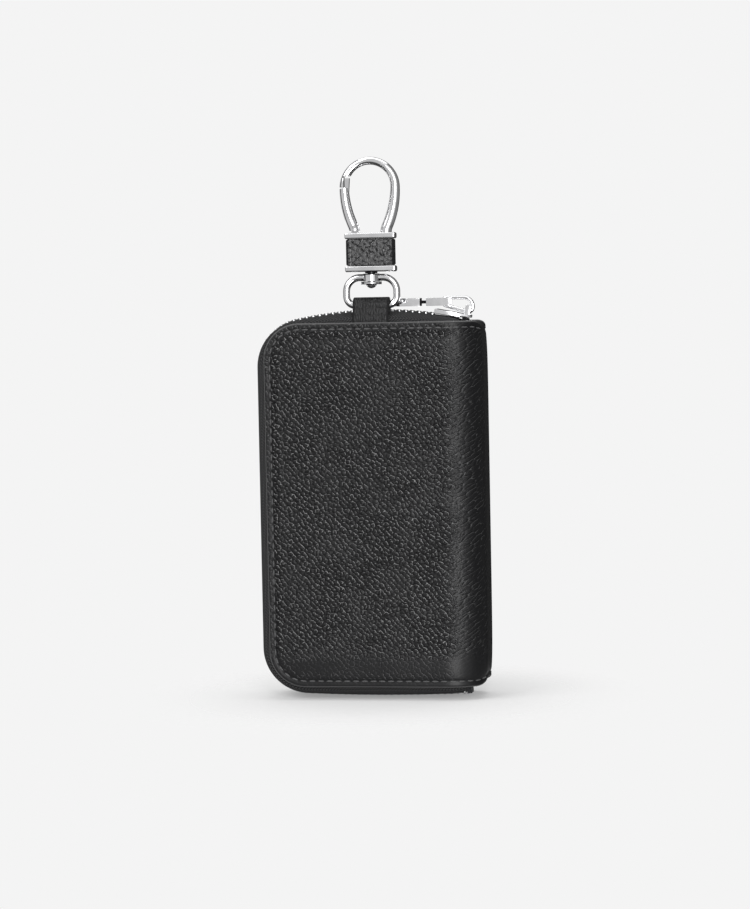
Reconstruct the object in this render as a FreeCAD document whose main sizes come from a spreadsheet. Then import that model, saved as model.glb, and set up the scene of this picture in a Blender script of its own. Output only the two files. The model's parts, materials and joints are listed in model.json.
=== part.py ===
import FreeCAD, Part
import math
import os
import Sketcher
from FreeCAD import Placement, Rotation, Vector

# Zip-round leather key case that hangs from a sprung pear hook.
# Millimetres. X to the right, Y to the back, Z up.
# The origin is the hang point: the inside of the hook's bow, at its top.

doc = FreeCAD.newDocument("key_case")

# Driving dimensions

DIMENSIONS = {
    # outer leather
    "case_width": 71.4,
    "case_height": 120.0,
    "case_depth": 28.0,
    "case_corner": 12.0,
    "spine_radius": 8.0,
    "spine_end_reach": 2.2,
    "spine_end_drop": 1.6,
    "leather": 1.6,
    "spine_split": 0.3,
    # stiffener and lining inside each cover
    "board": 0.5,
    "lining": 0.5,
    "board_margin": 2.0,
    "lining_margin": 0.6,
    # zip
    "arch_radius": 130.0,
    "foot_arch_radius": 600.0,
    "zip_corner": 12.0,
    "zip_end_gap": 5.0,
    "zip_bulge": 3.5,
    "tape": 0.8,
    "tape_hem": 5.0,
    "tape_gap": 4.6,
    "tooth_pitch": 2.2,
    "tooth_width": 0.8,
    "tooth_height": 2.0,
    "tooth_reach": 0.9,
    "stop_length": 1.6,
    "stop_width": 1.3,
    # slider and pull
    "slider_length": 12.0,
    "slider_width": 8.0,
    "slider_wall": 0.9,
    "slider_nose": 3.6,
    "slider_nose_length": 3.4,
    "slider_post": 1.4,
    "slider_post_length": 2.0,
    "flange": 0.9,
    "zip_clearance": 0.3,
    "lug_ear": 0.8,
    "lug_gap": 2.0,
    "lug_length": 1.8,
    "lug_pin": 1.1,
    "link_wire": 1.2,
    "link_bend": 1.35,
    "link_length": 7.5,
    "link_lean": 16.2,
    "link_rise": 0.26,
    "pull_length": 17.4,
    "pull_width": 5.0,
    "pull_thickness": 2.6,
    "pull_fork": 2.6,
    "pull_round": 1.0,
    "pull_neck": 6.6,
    "neck_width": 2.1,
    "neck_depth": 0.8,
    # hook
    "hook_offset": 8.5,
    "bow_half_width": 8.45,
    "bow_wire": 2.5,
    "bow_side_wire": 3.1,
    "bow_foot_wire": 3.7,
    "bow_height": 22.2,
    "bow_flare": 31.0,
    "bow_foot": 5.0,
    "nose_lap": 3.6,
    "nose_gap": 0.3,
    "gate_lift": 0.7,
    "gate_pivot": 2.0,
    "gate_pin": 1.1,
    "gate_slot": 1.7,
    "tongue": 0.9,
    "tongue_width": 2.2,
    "spring_wire": 0.5,
    "bar_width": 16.8,
    "bar_depth": 4.4,
    "bar_height": 2.0,
    "bar_round": 0.6,
    "core_width": 10.0,
    "core_depth": 1.2,
    "sleeve_width": 16.0,
    "sleeve_depth": 3.8,
    "sleeve_height": 8.8,
    "sleeve_round": 0.5,
    # swivel ring and hanger tab
    "ring_width": 19.0,
    "ring_height": 11.4,
    "ring_wire": 2.3,
    "ring_top_bend": 4.5,
    "ring_foot_bend": 3.0,
    "ring_boss": 5.4,
    "boss_lip": 0.1,
    "swivel_gap": 0.6,
    "rivet": 2.5,
    "rivet_collar": 4.1,
    "rivet_washer": 6.8,
    "washer_height": 0.9,
    "rivet_head": 3.6,
    "rivet_dome": 1.3,
    "tab_width": 12.0,
    "tab_leather": 1.3,
    "tab_drop": 5.5,
    "tab_tail": 6.0,
    "tab_neck": 2.2,
    "tab_clearance": 0.25,
    # key rail inside the back cover
    "rail_side_gap": 9.7,
    "rail_height": 10.0,
    "rail_drop": 13.0,
    "rail_plate": 1.0,
    "rail_cheek": 1.6,
    "rod": 2.4,
    "rod_stand_off": 3.2,
    "rod_drop": 6.5,
    "rail_rivet": 3.0,
    "rail_rivet_dome": 0.7,
    "rail_rivet_shank": 1.6,
    "rail_rivet_drop": 1.9,
    "key_hook_spacing": 1.0,
    "key_hook_wire": 1.2,
    "key_hook_drop": 14.0,
    "key_hook_barrel": 4.6,
    "barrel_lip": 0.1,
    # card pocket inside the front cover
    "pocket_margin": 10.0,
    "pocket_height": 62.0,
    "pocket_wall": 0.8,
    "pocket_slot": 0.4,
    "pocket_seam": 3.0,
    # fits
    "running_clearance": 0.05,
    "seat_clearance": 0.05,
}
KEY_HOOK_COUNT = 6

sheet = doc.addObject("Spreadsheet::Sheet", "sizes")
for row_number, (alias, number) in enumerate(DIMENSIONS.items(), start=1):
    sheet.set("A%d" % row_number, alias)
    sheet.set("B%d" % row_number, str(number))
    sheet.setAlias("B%d" % row_number, alias)
doc.recompute()


class Length:
    """A length with its value now and the sheet expression that keeps it up to date."""

    def __init__(self, value, text):
        self.value = float(value)
        self.text = text

    def __add__(self, other):
        other = as_length(other)
        return Length(self.value + other.value, "(%s + %s)" % (self.text, other.text))

    def __sub__(self, other):
        other = as_length(other)
        return Length(self.value - other.value, "(%s - %s)" % (self.text, other.text))

    def __mul__(self, other):
        other = as_length(other)
        return Length(self.value * other.value, "(%s * %s)" % (self.text, other.text))

    def __truediv__(self, other):
        other = as_length(other)
        return Length(self.value / other.value, "(%s / %s)" % (self.text, other.text))

    def __neg__(self):
        return Length(-self.value, "(0 - %s)" % self.text)

    def root(self):
        return Length(math.sqrt(self.value), "sqrt(%s)" % self.text)


def as_length(number):
    if isinstance(number, Length):
        return number
    return Length(number, repr(float(number)))


def size(alias):
    return Length(sheet.get(alias), "sizes.%s" % alias)


ZERO = as_length(0)


# Sketches and features

def new_body(label):
    body = doc.addObject("PartDesign::Body", label)
    body.Label = label
    return body


def new_sketch(body, plane_role, offset=ZERO):
    plane = next(item for item in body.Origin.OriginFeatures if item.Role == plane_role)
    sketch = body.newObject("Sketcher::SketchObject", "sketch")
    sketch.AttachmentSupport = [(plane, "")]
    sketch.MapMode = "FlatFace"
    sketch.setExpression("AttachmentOffset.Base.z", offset.text)
    return sketch


def tie_point(sketch, curve, end, axis_name, axis_line, distance):
    if distance is ZERO:
        sketch.addConstraint(Sketcher.Constraint("PointOnObject", curve, end, axis_line))
        return
    number = sketch.addConstraint(Sketcher.Constraint(axis_name, -1, 1, curve, end, distance.value))
    sketch.setExpression("Constraints[%d]" % number, distance.text)


def tie_radius(sketch, curve, radius):
    number = sketch.addConstraint(Sketcher.Constraint("Radius", curve, radius.value))
    sketch.setExpression("Constraints[%d]" % number, radius.text)


def draw_outline(sketch, corners, closed=True):
    """Straight sides and arcs through corners (u, v) or (u, v, radius, turn).

    The radius and turn of a corner shape the side that leaves it: turn is 1 for an arc
    to the left and -1 for an arc to the right.
    """
    side_count = len(corners) if closed else len(corners) - 1
    ends = []
    for number in range(side_count):
        corner = corners[number]
        following = corners[(number + 1) % len(corners)]
        start = Vector(corner[0].value, corner[1].value, 0)
        stop = Vector(following[0].value, following[1].value, 0)
        if len(corner) == 2:
            curve = sketch.addGeometry(Part.LineSegment(start, stop))
            ends.append((curve, 1, 2))
            continue
        radius, turn = corner[2], corner[3]
        chord = stop - start
        rise = math.sqrt(radius.value ** 2 - (chord.Length / 2) ** 2)
        across = Vector(-chord.y, chord.x, 0).normalize()
        centre = (start + stop) / 2 + across * (rise * turn)
        angles = [math.atan2(point.y - centre.y, point.x - centre.x) for point in (start, stop)]
        if turn < 0:
            angles.reverse()
        circle = Part.Circle(centre, Vector(0, 0, 1), radius.value)
        curve = sketch.addGeometry(Part.ArcOfCircle(circle, angles[0], angles[1]))
        ends.append((curve, 1, 2) if turn > 0 else (curve, 2, 1))
    for number, (curve, first, last) in enumerate(ends):
        corner = corners[number]
        tie_point(sketch, curve, first, "DistanceX", -2, corner[0])
        tie_point(sketch, curve, first, "DistanceY", -1, corner[1])
        if number + 1 < side_count or closed:
            next_curve, next_first, _ = ends[(number + 1) % side_count]
            sketch.addConstraint(Sketcher.Constraint("Coincident", curve, last, next_curve, next_first))
        else:
            tie_point(sketch, curve, last, "DistanceX", -2, corners[-1][0])
            tie_point(sketch, curve, last, "DistanceY", -1, corners[-1][1])
        if len(corner) > 2:
            tie_radius(sketch, curve, corner[2])


def draw_circle(sketch, u, v, radius):
    circle = Part.Circle(Vector(u.value, v.value, 0), Vector(0, 0, 1), radius.value)
    curve = sketch.addGeometry(circle)
    tie_point(sketch, curve, 3, "DistanceX", -2, u)
    tie_point(sketch, curve, 3, "DistanceY", -1, v)
    tie_radius(sketch, curve, radius)


def rectangle(low_u, high_u, low_v, high_v):
    return [(low_u, low_v), (high_u, low_v), (high_u, high_v), (low_u, high_v)]


def add_pad(body, sketch, length, symmetric=False):
    pad = body.newObject("PartDesign::Pad", "pad")
    pad.Profile = sketch
    pad.setExpression("Length", length.text)
    if symmetric:
        pad.SideType = "Symmetric"
    doc.recompute()
    return pad


def slab_along_x(body, corners, low, high):
    sketch = new_sketch(body, "YZ_Plane", low)
    draw_outline(sketch, corners)
    return add_pad(body, sketch, high - low)


def slab_along_y(body, corners, low, high):
    sketch = new_sketch(body, "XZ_Plane", -high)
    draw_outline(sketch, corners)
    return add_pad(body, sketch, high - low)


def slab_along_z(body, corners, low, high):
    sketch = new_sketch(body, "XY_Plane", low)
    draw_outline(sketch, corners)
    return add_pad(body, sketch, high - low)


def cut_through(body, sketch):
    before = body.Shape.Volume
    pocket = body.newObject("PartDesign::Pocket", "pocket")
    pocket.Profile = sketch
    pocket.Type = "ThroughAll"
    pocket.SideType = "Symmetric"
    doc.recompute()
    if body.Shape.Volume >= before:
        raise RuntimeError("%s: a cut takes nothing away" % body.Label)
    return pocket


def cut_outline(body, plane_role, corners):
    sketch = new_sketch(body, plane_role)
    draw_outline(sketch, corners)
    return cut_through(body, sketch)


def cut_hole(body, plane_role, u, v, radius):
    sketch = new_sketch(body, plane_role)
    draw_circle(sketch, u, v, radius)
    return cut_through(body, sketch)


def add_pipe(body, profile, path):
    pipe = body.newObject("PartDesign::AdditivePipe", "pipe")
    pipe.Profile = profile
    pipe.Spine = (path, ["Edge%d" % (number + 1) for number in range(path.GeometryCount)])
    doc.recompute()
    return pipe


def round_edges(body, radius, wanted):
    """Fillet the edges of the body's last feature that the test wanted picks."""
    base = body.Tip
    names = ["Edge%d" % (number + 1) for number, edge in enumerate(base.Shape.Edges) if wanted(edge)]
    fillet = body.newObject("PartDesign::Fillet", "fillet")
    fillet.Base = (base, names)
    fillet.setExpression("Radius", radius.text)
    doc.recompute()
    return fillet


def runs_along(edge, axis):
    if edge.Curve.TypeId != "Part::GeomLine":
        return False
    direction = edge.tangentAt(edge.FirstParameter)
    return abs(direction.dot(axis)) > 0.999


def near(first, second):
    return abs(first - second) < 1e-4


ALONG_Y = Vector(0, 1, 0)
ALONG_Z = Vector(0, 0, 1)

# Levels that several pieces share

half_width = size("case_width") / 2
half_depth = size("case_depth") / 2
middle = size("hook_offset")
upper_bar_top = -size("bow_height")
upper_bar_foot = upper_bar_top - size("bar_height")
lower_bar_top = upper_bar_foot - size("sleeve_height")
lower_bar_foot = lower_bar_top - size("bar_height")
boss_top = lower_bar_foot - size("swivel_gap")
ring_top = boss_top - size("boss_lip")
ring_pin_level = ring_top - size("ring_height") + size("ring_wire") / 2
case_top = ring_pin_level - size("tab_drop")
case_foot = case_top - size("case_height")
board_face = half_depth - size("leather")
lining_face = board_face - size("board")
hem_face = lining_face - size("lining")
SIDES = {"front": -1, "back": 1}


# Leather covers: each is a flat panel that turns into its half of the spine

def make_cover(side):
    sign = SIDES[side]
    body = new_body(side + "_panel")
    outer = middle + half_depth * sign
    inner = middle + board_face * sign
    bend_level = middle + (half_depth - size("spine_radius")) * sign
    split = middle + size("spine_split") / 2 * sign
    bend_start = half_width - size("spine_radius")
    slab_along_z(body, [
        (-half_width, outer),
        (bend_start, outer, size("spine_radius"), -sign),
        (half_width, bend_level),
        (half_width, split),
        (half_width - size("leather"), split),
        (half_width - size("leather"), bend_level, size("spine_radius") - size("leather"), sign),
        (bend_start, inner),
        (-half_width, inner),
    ], case_foot, case_top)
    round_edges(body, size("case_corner"), lambda edge: (
        runs_along(edge, ALONG_Y) and near(edge.CenterOfMass.x, -half_width.value)))
    for edge_level, turn in ((case_top, -1), (case_foot, 1)):
        cut_outline(body, "XZ_Plane", [
            (half_width - size("spine_end_reach"), edge_level),
            (half_width, edge_level + size("spine_end_drop") * turn),
            (half_width, edge_level),
        ])


# Boards and linings: flat plates inside each cover, cut short of the spine.
# On the front they are notched for the tail of the hanger tab.

def make_plate(label, side, outer_face, thickness, margin):
    sign = SIDES[side]
    body = new_body(label)
    faces = [middle + outer_face * sign, middle + (outer_face - thickness) * sign]
    low_face, high_face = faces if sign < 0 else reversed(faces)
    left = margin - half_width
    slab_along_y(body, rectangle(
        left, half_width - size("spine_radius"), case_foot + margin, case_top - margin), low_face, high_face)
    round_edges(body, size("case_corner") - margin, lambda edge: (
        runs_along(edge, ALONG_Y) and near(edge.CenterOfMass.x, left.value)))
    if side == "front":
        half_notch = size("tab_width") / 2 + size("tab_clearance")
        cut_outline(body, "XZ_Plane", rectangle(
            -half_notch, half_notch, case_top - size("tab_tail") - size("tab_clearance"), case_top))


for cover_side in SIDES:
    make_cover(cover_side)
    make_plate(cover_side + "_board", cover_side, board_face, size("board"), size("board_margin"))
    make_plate(cover_side + "_lining", cover_side, lining_face, size("lining"), size("lining_margin"))


# Card pocket: a leather slip pocket on the front lining, open at its top

def make_card_pocket():
    body = new_body("card_pocket")
    seat = middle - hem_face
    slot_face = seat + size("pocket_slot")
    left = size("pocket_margin") - half_width
    right = half_width - size("spine_radius") - size("pocket_seam")
    foot = case_foot + size("pocket_margin")
    mouth = foot + size("pocket_height")
    seam = size("pocket_seam")
    slab_along_y(body, rectangle(left, right, foot, mouth), slot_face, slot_face + size("pocket_wall"))
    slab_along_y(body, [
        (left, foot), (right, foot), (right, mouth), (right - seam, mouth),
        (right - seam, foot + seam), (left + seam, foot + seam), (left + seam, mouth), (left, mouth),
    ], seat, slot_face)


make_card_pocket()

# Zip: the tapes and teeth run along one line, arched over the top and nearly flat along the foot

arch_radius = sheet.get("arch_radius")
foot_radius = sheet.get("foot_arch_radius")
zip_corner = sheet.get("zip_corner")
zip_end = half_width.value - sheet.get("zip_end_gap")
arch_centre_top = case_top.value - arch_radius
arch_centre_foot = case_foot.value + foot_radius
corner_x = zip_corner - half_width.value


def zip_run(radius, centre_z, up, offset):
    """Five points on one run: its end, its middle, its join to the corner, the corner and the side."""
    arch = radius + offset
    corner = zip_corner + offset
    rise = math.sqrt((radius - zip_corner) ** 2 - corner_x ** 2)
    half_turn = (math.atan2(rise, corner_x) + math.pi) / 2

    def arch_point(x):
        return Vector(x, middle.value, centre_z + up * math.sqrt(arch ** 2 - x ** 2))

    def corner_point(angle):
        return Vector(corner_x + corner * math.cos(angle), middle.value,
                      centre_z + up * (rise + corner * math.sin(angle)))

    return [
        arch_point(zip_end * arch / radius),
        arch_point(0),
        arch_point(corner_x * arch / (radius - zip_corner)),
        corner_point(half_turn),
        corner_point(math.pi),
    ]


def zip_edges(offset):
    """The zip line, from its top end to its foot end, moved out by the offset."""
    top = zip_run(arch_radius, arch_centre_top, 1, offset)
    foot = zip_run(foot_radius, arch_centre_foot, -1, offset)[::-1]
    return [
        Part.Arc(*top[:3]).toShape(),
        Part.Arc(*top[2:]).toShape(),
        Part.LineSegment(top[4], foot[0]).toShape(),
        Part.Arc(*foot[:3]).toShape(),
        Part.Arc(*foot[2:]).toShape(),
    ]


def add_shape(label, shape):
    feature = doc.addObject("Part::Feature", label)
    feature.Label = label
    feature.Shape = shape
    feature.Placement = Placement()
    return feature


# Tapes: a flat hem on the lining that rolls out past the cover's edge to the teeth

half_gap = sheet.get("tape_gap") / 2
tape = sheet.get("tape")
bulge = sheet.get("zip_bulge")


def tape_section(sign):
    hem = hem_face.value
    shoulder = hem - (hem - half_gap) * 0.25
    crown = hem - (hem - half_gap) * 0.65
    outer = [(hem, -sheet.get("tape_hem")), (hem, 0.0), (shoulder, bulge * 0.58), (crown, bulge * 0.92),
             (half_gap, bulge)]
    inner = [(half_gap, bulge - tape), (crown, bulge * 0.92 - tape),
             (shoulder - tape / 2, bulge * 0.58 - tape),
             (hem - tape, -tape / 2), (hem - tape, -sheet.get("tape_hem"))]
    return [(distance * sign, height) for distance, height in outer + inner]


def sweep_along_zip(section):
    edges = zip_edges(0.0)
    start = edges[0].valueAt(edges[0].FirstParameter)
    outward = (start - Vector(0, start.y, arch_centre_top)).normalize()
    points = [start + ALONG_Y * distance + outward * height for distance, height in section]
    profile = Part.makePolygon(points + points[:1])
    return Part.Wire(edges).makePipeShell([profile], True, True)


# Teeth: one row on each tape, each tooth reaching past the middle into the other row

tooth_level = bulge - tape / 2
pitch = sheet.get("tooth_pitch")
tooth_half = sheet.get("tooth_width") / 2
tooth_height = sheet.get("tooth_height")
reach = sheet.get("tooth_reach")
slider_half_angle = math.degrees(sheet.get("slider_length") / 2 / (arch_radius + tooth_level))
slider_angle = math.degrees(math.asin(zip_end / arch_radius)) - slider_half_angle


def tooth_solid(sign):
    plan = [(-tooth_half, -half_gap), (tooth_half, -half_gap), (tooth_half, reach / 3),
            (tooth_half / 2, reach), (-tooth_half / 2, reach), (-tooth_half, reach / 3)]
    points = [Vector(along, -across * sign, -tooth_height / 2) for along, across in plan]
    face = Part.Face(Part.makePolygon(points + points[:1]))
    return face.extrude(Vector(0, 0, tooth_height))


def seat_on_chain(solid, edge, distance):
    parameter = edge.getParameterByLength(distance)
    along = edge.tangentAt(parameter)
    turn = Rotation(along, ALONG_Y, along.cross(ALONG_Y), "XYZ")
    placed = solid.copy()
    placed.Placement = Placement(edge.valueAt(parameter), turn)
    return placed


def make_teeth(side, first_step, end_angle):
    """A row of teeth from end_angle on the top arch round to the stop at the foot."""
    solid = tooth_solid(SIDES[side])
    row = []
    edges = zip_edges(tooth_level)
    skipped = (math.asin(zip_end / arch_radius) - math.radians(end_angle)) * (arch_radius + tooth_level)
    travelled = pitch * (math.ceil(skipped / pitch) + first_step)
    for edge in edges:
        run_end = edge.Length - sheet.get("stop_length") * 2 if edge is edges[-1] else edge.Length
        while travelled < run_end:
            row.append(seat_on_chain(solid, edge, travelled))
            travelled += pitch
        travelled -= edge.Length
    return Part.makeCompound(row)


def make_stops(side):
    """Metal stops at both ends of the row, on the edge of the tape."""
    sign = SIDES[side]
    length = sheet.get("stop_length")
    width = sheet.get("stop_width")
    low = -half_gap if sign < 0 else half_gap - width
    block = Part.makeBox(length, width, tooth_height, Vector(-length / 2, low, -tooth_height / 2))
    edges = zip_edges(tooth_level)
    return Part.makeCompound([
        seat_on_chain(block, edges[0], length), seat_on_chain(block, edges[4], edges[4].Length - length)])


row_end_angle = slider_angle - slider_half_angle
for cover_side, start_step, end_angle in (("front", 0.0, row_end_angle), ("back", 0.5, slider_angle - 1.0)):
    add_shape(cover_side + "_tape", sweep_along_zip(tape_section(SIDES[cover_side])))
    add_shape(cover_side + "_teeth", make_teeth(cover_side, start_step, end_angle))
    add_shape(cover_side + "_stops", make_stops(cover_side))


# Hook: a bow of round bar, open on the left where the gate closes it

bow = size("bow_half_width")
bow_centre = size("bow_wire") / 2 - bow
leg_sine = (bow_centre - upper_bar_top) / (size("bow_flare") + size("bow_foot"))
leg_cosine = (as_length(1) - leg_sine * leg_sine).root()
foot_x = bow - (size("bow_flare") + size("bow_foot")) * (as_length(1) - leg_cosine)
turn_x = bow - size("bow_flare") * (as_length(1) - leg_cosine)
turn_level = bow_centre - size("bow_flare") * leg_sine


def leg_corners(sign):
    """One leg of the pear, from its foot on the bar up to its widest point."""
    return [
        (foot_x * sign, upper_bar_top, size("bow_foot"), -sign),
        (turn_x * sign, turn_level, size("bow_flare"), sign),
        (bow * sign, bow_centre, bow, sign),
    ]


def taper_pipe(body, sign, corners, top_sections):
    """A round bar that thins from the leg's foot to its widest point and on to the top."""
    path = new_sketch(body, "XZ_Plane")
    draw_outline(path, corners, closed=False)
    profile = new_sketch(body, "XY_Plane", upper_bar_top)
    draw_circle(profile, foot_x * sign, ZERO, size("bow_foot_wire") / 2)
    side = new_sketch(body, "XY_Plane", bow_centre)
    draw_circle(side, bow * sign, ZERO, size("bow_side_wire") / 2)
    pipe = add_pipe(body, profile, path)
    pipe.Transformation = "Multisection"
    pipe.Sections = [side] + top_sections
    doc.recompute()


def make_bow():
    body = new_body("hook_bow")
    crown = new_sketch(body, "YZ_Plane")
    draw_circle(crown, ZERO, size("bow_wire") / 2, size("bow_wire") / 2)
    nose = new_sketch(body, "XY_Plane", bow_centre)
    draw_circle(nose, -bow, ZERO, size("bow_side_wire") / 2)
    over_the_top = [(ZERO, size("bow_wire") / 2, bow, 1), (-bow, bow_centre)]
    taper_pipe(body, 1, leg_corners(1) + over_the_top, [crown, nose])
    cut_outline(body, "XZ_Plane", rectangle(
        -bow, size("bow_foot_wire") - bow, bow_centre - size("nose_lap"), bow_centre + size("nose_lap")))


make_bow()

# Gate: the left leg, pivoted at its foot, with a flat tongue that laps inside the bow's nose

pivot_level = upper_bar_top + size("gate_pivot")
pin_radius = size("gate_pin") / 2


def make_gate():
    body = new_body("gate")
    taper_pipe(body, -1, leg_corners(-1)[:2] + [(-bow, bow_centre)], [])
    lap_line = size("nose_gap") - bow
    half_side = size("bow_side_wire") / 2
    outer = -bow - size("bow_foot_wire")
    head = bow_centre - size("nose_gap")
    cut_outline(body, "XZ_Plane", [
        (outer, head - size("nose_gap") * size("bow_foot_wire") / half_side),
        (-bow, head),
        (ZERO, head),
        (ZERO, bow_centre + half_side),
        (outer, bow_centre + half_side),
    ])
    slab_along_y(body, [
        (lap_line, bow_centre - half_side),
        (half_side - bow, bow_centre - half_side),
        (half_side - bow + size("nose_gap"), bow_centre + size("nose_lap") - size("gate_lift")),
        (lap_line, bow_centre + size("nose_lap") - size("gate_lift")),
    ], -half_side / 2, half_side / 2)
    cut_outline(body, "XZ_Plane", rectangle(
        outer, ZERO, upper_bar_top - size("bow_foot_wire"), upper_bar_top + size("gate_lift")))
    slot = size("gate_slot") / 2
    cut_outline(body, "YZ_Plane", rectangle(
        -slot, slot, upper_bar_top - size("bow_foot_wire"), pivot_level + size("gate_pivot")))
    cut_hole(body, "XZ_Plane", -foot_x, pivot_level, pin_radius + size("running_clearance"))


make_gate()

# Hook frame: two cross bars joined by a core, with the tongue that carries the gate

def make_frame():
    body = new_body("hook_frame")
    half_bar = size("bar_width") / 2
    half_bar_depth = size("bar_depth") / 2
    plan = rectangle(-half_bar, half_bar, -half_bar_depth, half_bar_depth)
    slab_along_z(body, plan, upper_bar_foot, upper_bar_top)
    round_edges(body, size("bar_round"), lambda edge: True)
    half_core = size("core_width") / 2
    half_core_depth = size("core_depth") / 2
    slab_along_z(body, rectangle(-half_core, half_core, -half_core_depth, half_core_depth),
                 lower_bar_top - size("bar_round"), upper_bar_foot + size("bar_round"))
    slab_along_z(body, plan, lower_bar_foot, lower_bar_top)
    round_edges(body, size("bar_round"), lambda edge: (
        edge.BoundBox.ZMax < lower_bar_top.value + 1e-4 and edge.Length > half_core_depth.value * 2 + 1e-4
        and max(abs(edge.CenterOfMass.x) / half_bar.value,
                abs(edge.CenterOfMass.y) / half_bar_depth.value) > 0.99))
    half_tongue = size("tongue_width") / 2
    tongue_front = -size("gate_slot") / 2 + size("seat_clearance") * 2
    tongue_plan = rectangle(
        -foot_x - half_tongue, half_tongue - foot_x,
        upper_bar_top - size("bar_round"), pivot_level + half_tongue)
    slab_along_y(body, tongue_plan, tongue_front, tongue_front + size("tongue"))
    cut_hole(body, "XZ_Plane", -foot_x, pivot_level, pin_radius + size("running_clearance") / 5)


make_frame()


def make_gate_pin():
    body = new_body("gate_pin")
    sketch = new_sketch(body, "XZ_Plane")
    draw_circle(sketch, -foot_x, pivot_level, pin_radius)
    add_pad(body, sketch, size("bow_side_wire"), symmetric=True)


make_gate_pin()


def make_gate_spring():
    """The closed coil that pushes the gate shut, beside the tongue on the same pin."""
    body = new_body("gate_spring")
    tongue_back = size("seat_clearance") * 2 - size("gate_slot") / 2 + size("tongue")
    inner = pin_radius + size("running_clearance")
    sketch = new_sketch(body, "XZ_Plane", -tongue_back - size("spring_wire"))
    draw_circle(sketch, -foot_x, pivot_level, inner)
    draw_circle(sketch, -foot_x, pivot_level, inner + size("spring_wire"))
    add_pad(body, sketch, size("spring_wire"))


make_gate_spring()


def make_sleeve():
    """The leather wrapped round the core between the bars."""
    body = new_body("leather_sleeve")
    seat = size("seat_clearance")
    half_sleeve = size("sleeve_width") / 2
    half_sleeve_depth = size("sleeve_depth") / 2
    slab_along_z(body, rectangle(-half_sleeve, half_sleeve, -half_sleeve_depth, half_sleeve_depth),
                 lower_bar_top + seat, upper_bar_foot - seat)
    round_edges(body, size("sleeve_round"), lambda edge: runs_along(edge, ALONG_Z))
    half_core = size("core_width") / 2 + seat
    half_core_depth = size("core_depth") / 2 + seat
    cut_outline(body, "XY_Plane", rectangle(-half_core, half_core, -half_core_depth, half_core_depth))


make_sleeve()


def make_swivel_rivet():
    """Collar, shank, washer and domed head, turned about the swivel axis."""
    body = new_body("swivel_rivet")
    play = size("running_clearance") * 2
    collar_foot = boss_top + play
    washer_top = ring_top - size("ring_wire") - size("boss_lip") - play
    washer_foot = washer_top - size("washer_height")
    collar = size("rivet_collar") / 2
    shank = size("rivet") / 2
    washer = size("rivet_washer") / 2
    head = size("rivet_head") / 2
    dome = size("rivet_dome")
    dome_radius = (head * head + dome * dome) / (dome * 2)
    sketch = new_sketch(body, "XZ_Plane")
    draw_outline(sketch, [
        (ZERO, lower_bar_foot),
        (ZERO, washer_foot - dome, dome_radius, 1),
        (head, washer_foot),
        (washer, washer_foot),
        (washer, washer_top),
        (shank, washer_top),
        (shank, collar_foot),
        (collar, collar_foot),
        (collar, lower_bar_foot),
    ])
    turned = body.newObject("PartDesign::Revolution", "turned")
    turned.Profile = sketch
    turned.ReferenceAxis = (sketch, ["V_Axis"])
    turned.Angle = 360
    doc.recompute()


make_swivel_rivet()

# Swivel ring: a rounded loop of bar with the boss that turns on the rivet

def make_ring():
    body = new_body("swivel_ring")
    wire = size("ring_wire")
    half_ring = (size("ring_width") - wire) / 2
    top = ring_top - wire / 2
    top_bend = size("ring_top_bend")
    foot_bend = size("ring_foot_bend")
    path = new_sketch(body, "XZ_Plane")
    draw_outline(path, [
        (foot_bend - half_ring, ring_pin_level),
        (half_ring - foot_bend, ring_pin_level, foot_bend, 1),
        (half_ring, ring_pin_level + foot_bend),
        (half_ring, top - top_bend, top_bend, 1),
        (half_ring - top_bend, top),
        (top_bend - half_ring, top, top_bend, 1),
        (-half_ring, top - top_bend),
        (-half_ring, ring_pin_level + foot_bend, foot_bend, 1),
    ])
    profile = new_sketch(body, "YZ_Plane", foot_bend - half_ring)
    draw_circle(profile, ZERO, ring_pin_level, wire / 2)
    add_pipe(body, profile, path)
    boss_foot = ring_top - wire - size("boss_lip")
    boss = new_sketch(body, "XY_Plane", boss_foot)
    draw_circle(boss, ZERO, ZERO, size("ring_boss") / 2)
    add_pad(body, boss, boss_top - boss_foot)
    cut_hole(body, "XY_Plane", ZERO, ZERO, size("rivet") / 2 + size("running_clearance"))


make_ring()

# Hanger tab: a leather strap folded round the ring, its skived tail under the front cover

def make_tab():
    body = new_body("hanger_tab")
    seat = size("seat_clearance")
    tail_front = middle - board_face + seat
    tail_back = middle - hem_face - seat
    tail_foot = case_top - size("tab_tail")
    neck = case_top + size("tab_neck")
    hole = size("ring_wire") / 2 + size("tab_clearance")
    loop = hole + size("tab_leather")
    sketch = new_sketch(body, "YZ_Plane")
    draw_outline(sketch, [
        (tail_front, tail_foot),
        (tail_front, neck),
        (-loop, ring_pin_level, loop, -1),
        (ZERO, ring_pin_level + loop, loop, -1),
        (loop, ring_pin_level, loop, -1),
        (ZERO, ring_pin_level - loop),
        (tail_back, neck),
        (tail_back, tail_foot),
    ])
    draw_circle(sketch, ZERO, ring_pin_level, hole)
    add_pad(body, sketch, size("tab_width"), symmetric=True)


make_tab()


# Slider: made level at the top of the arch, then swung to its closed place near the spine

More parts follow.
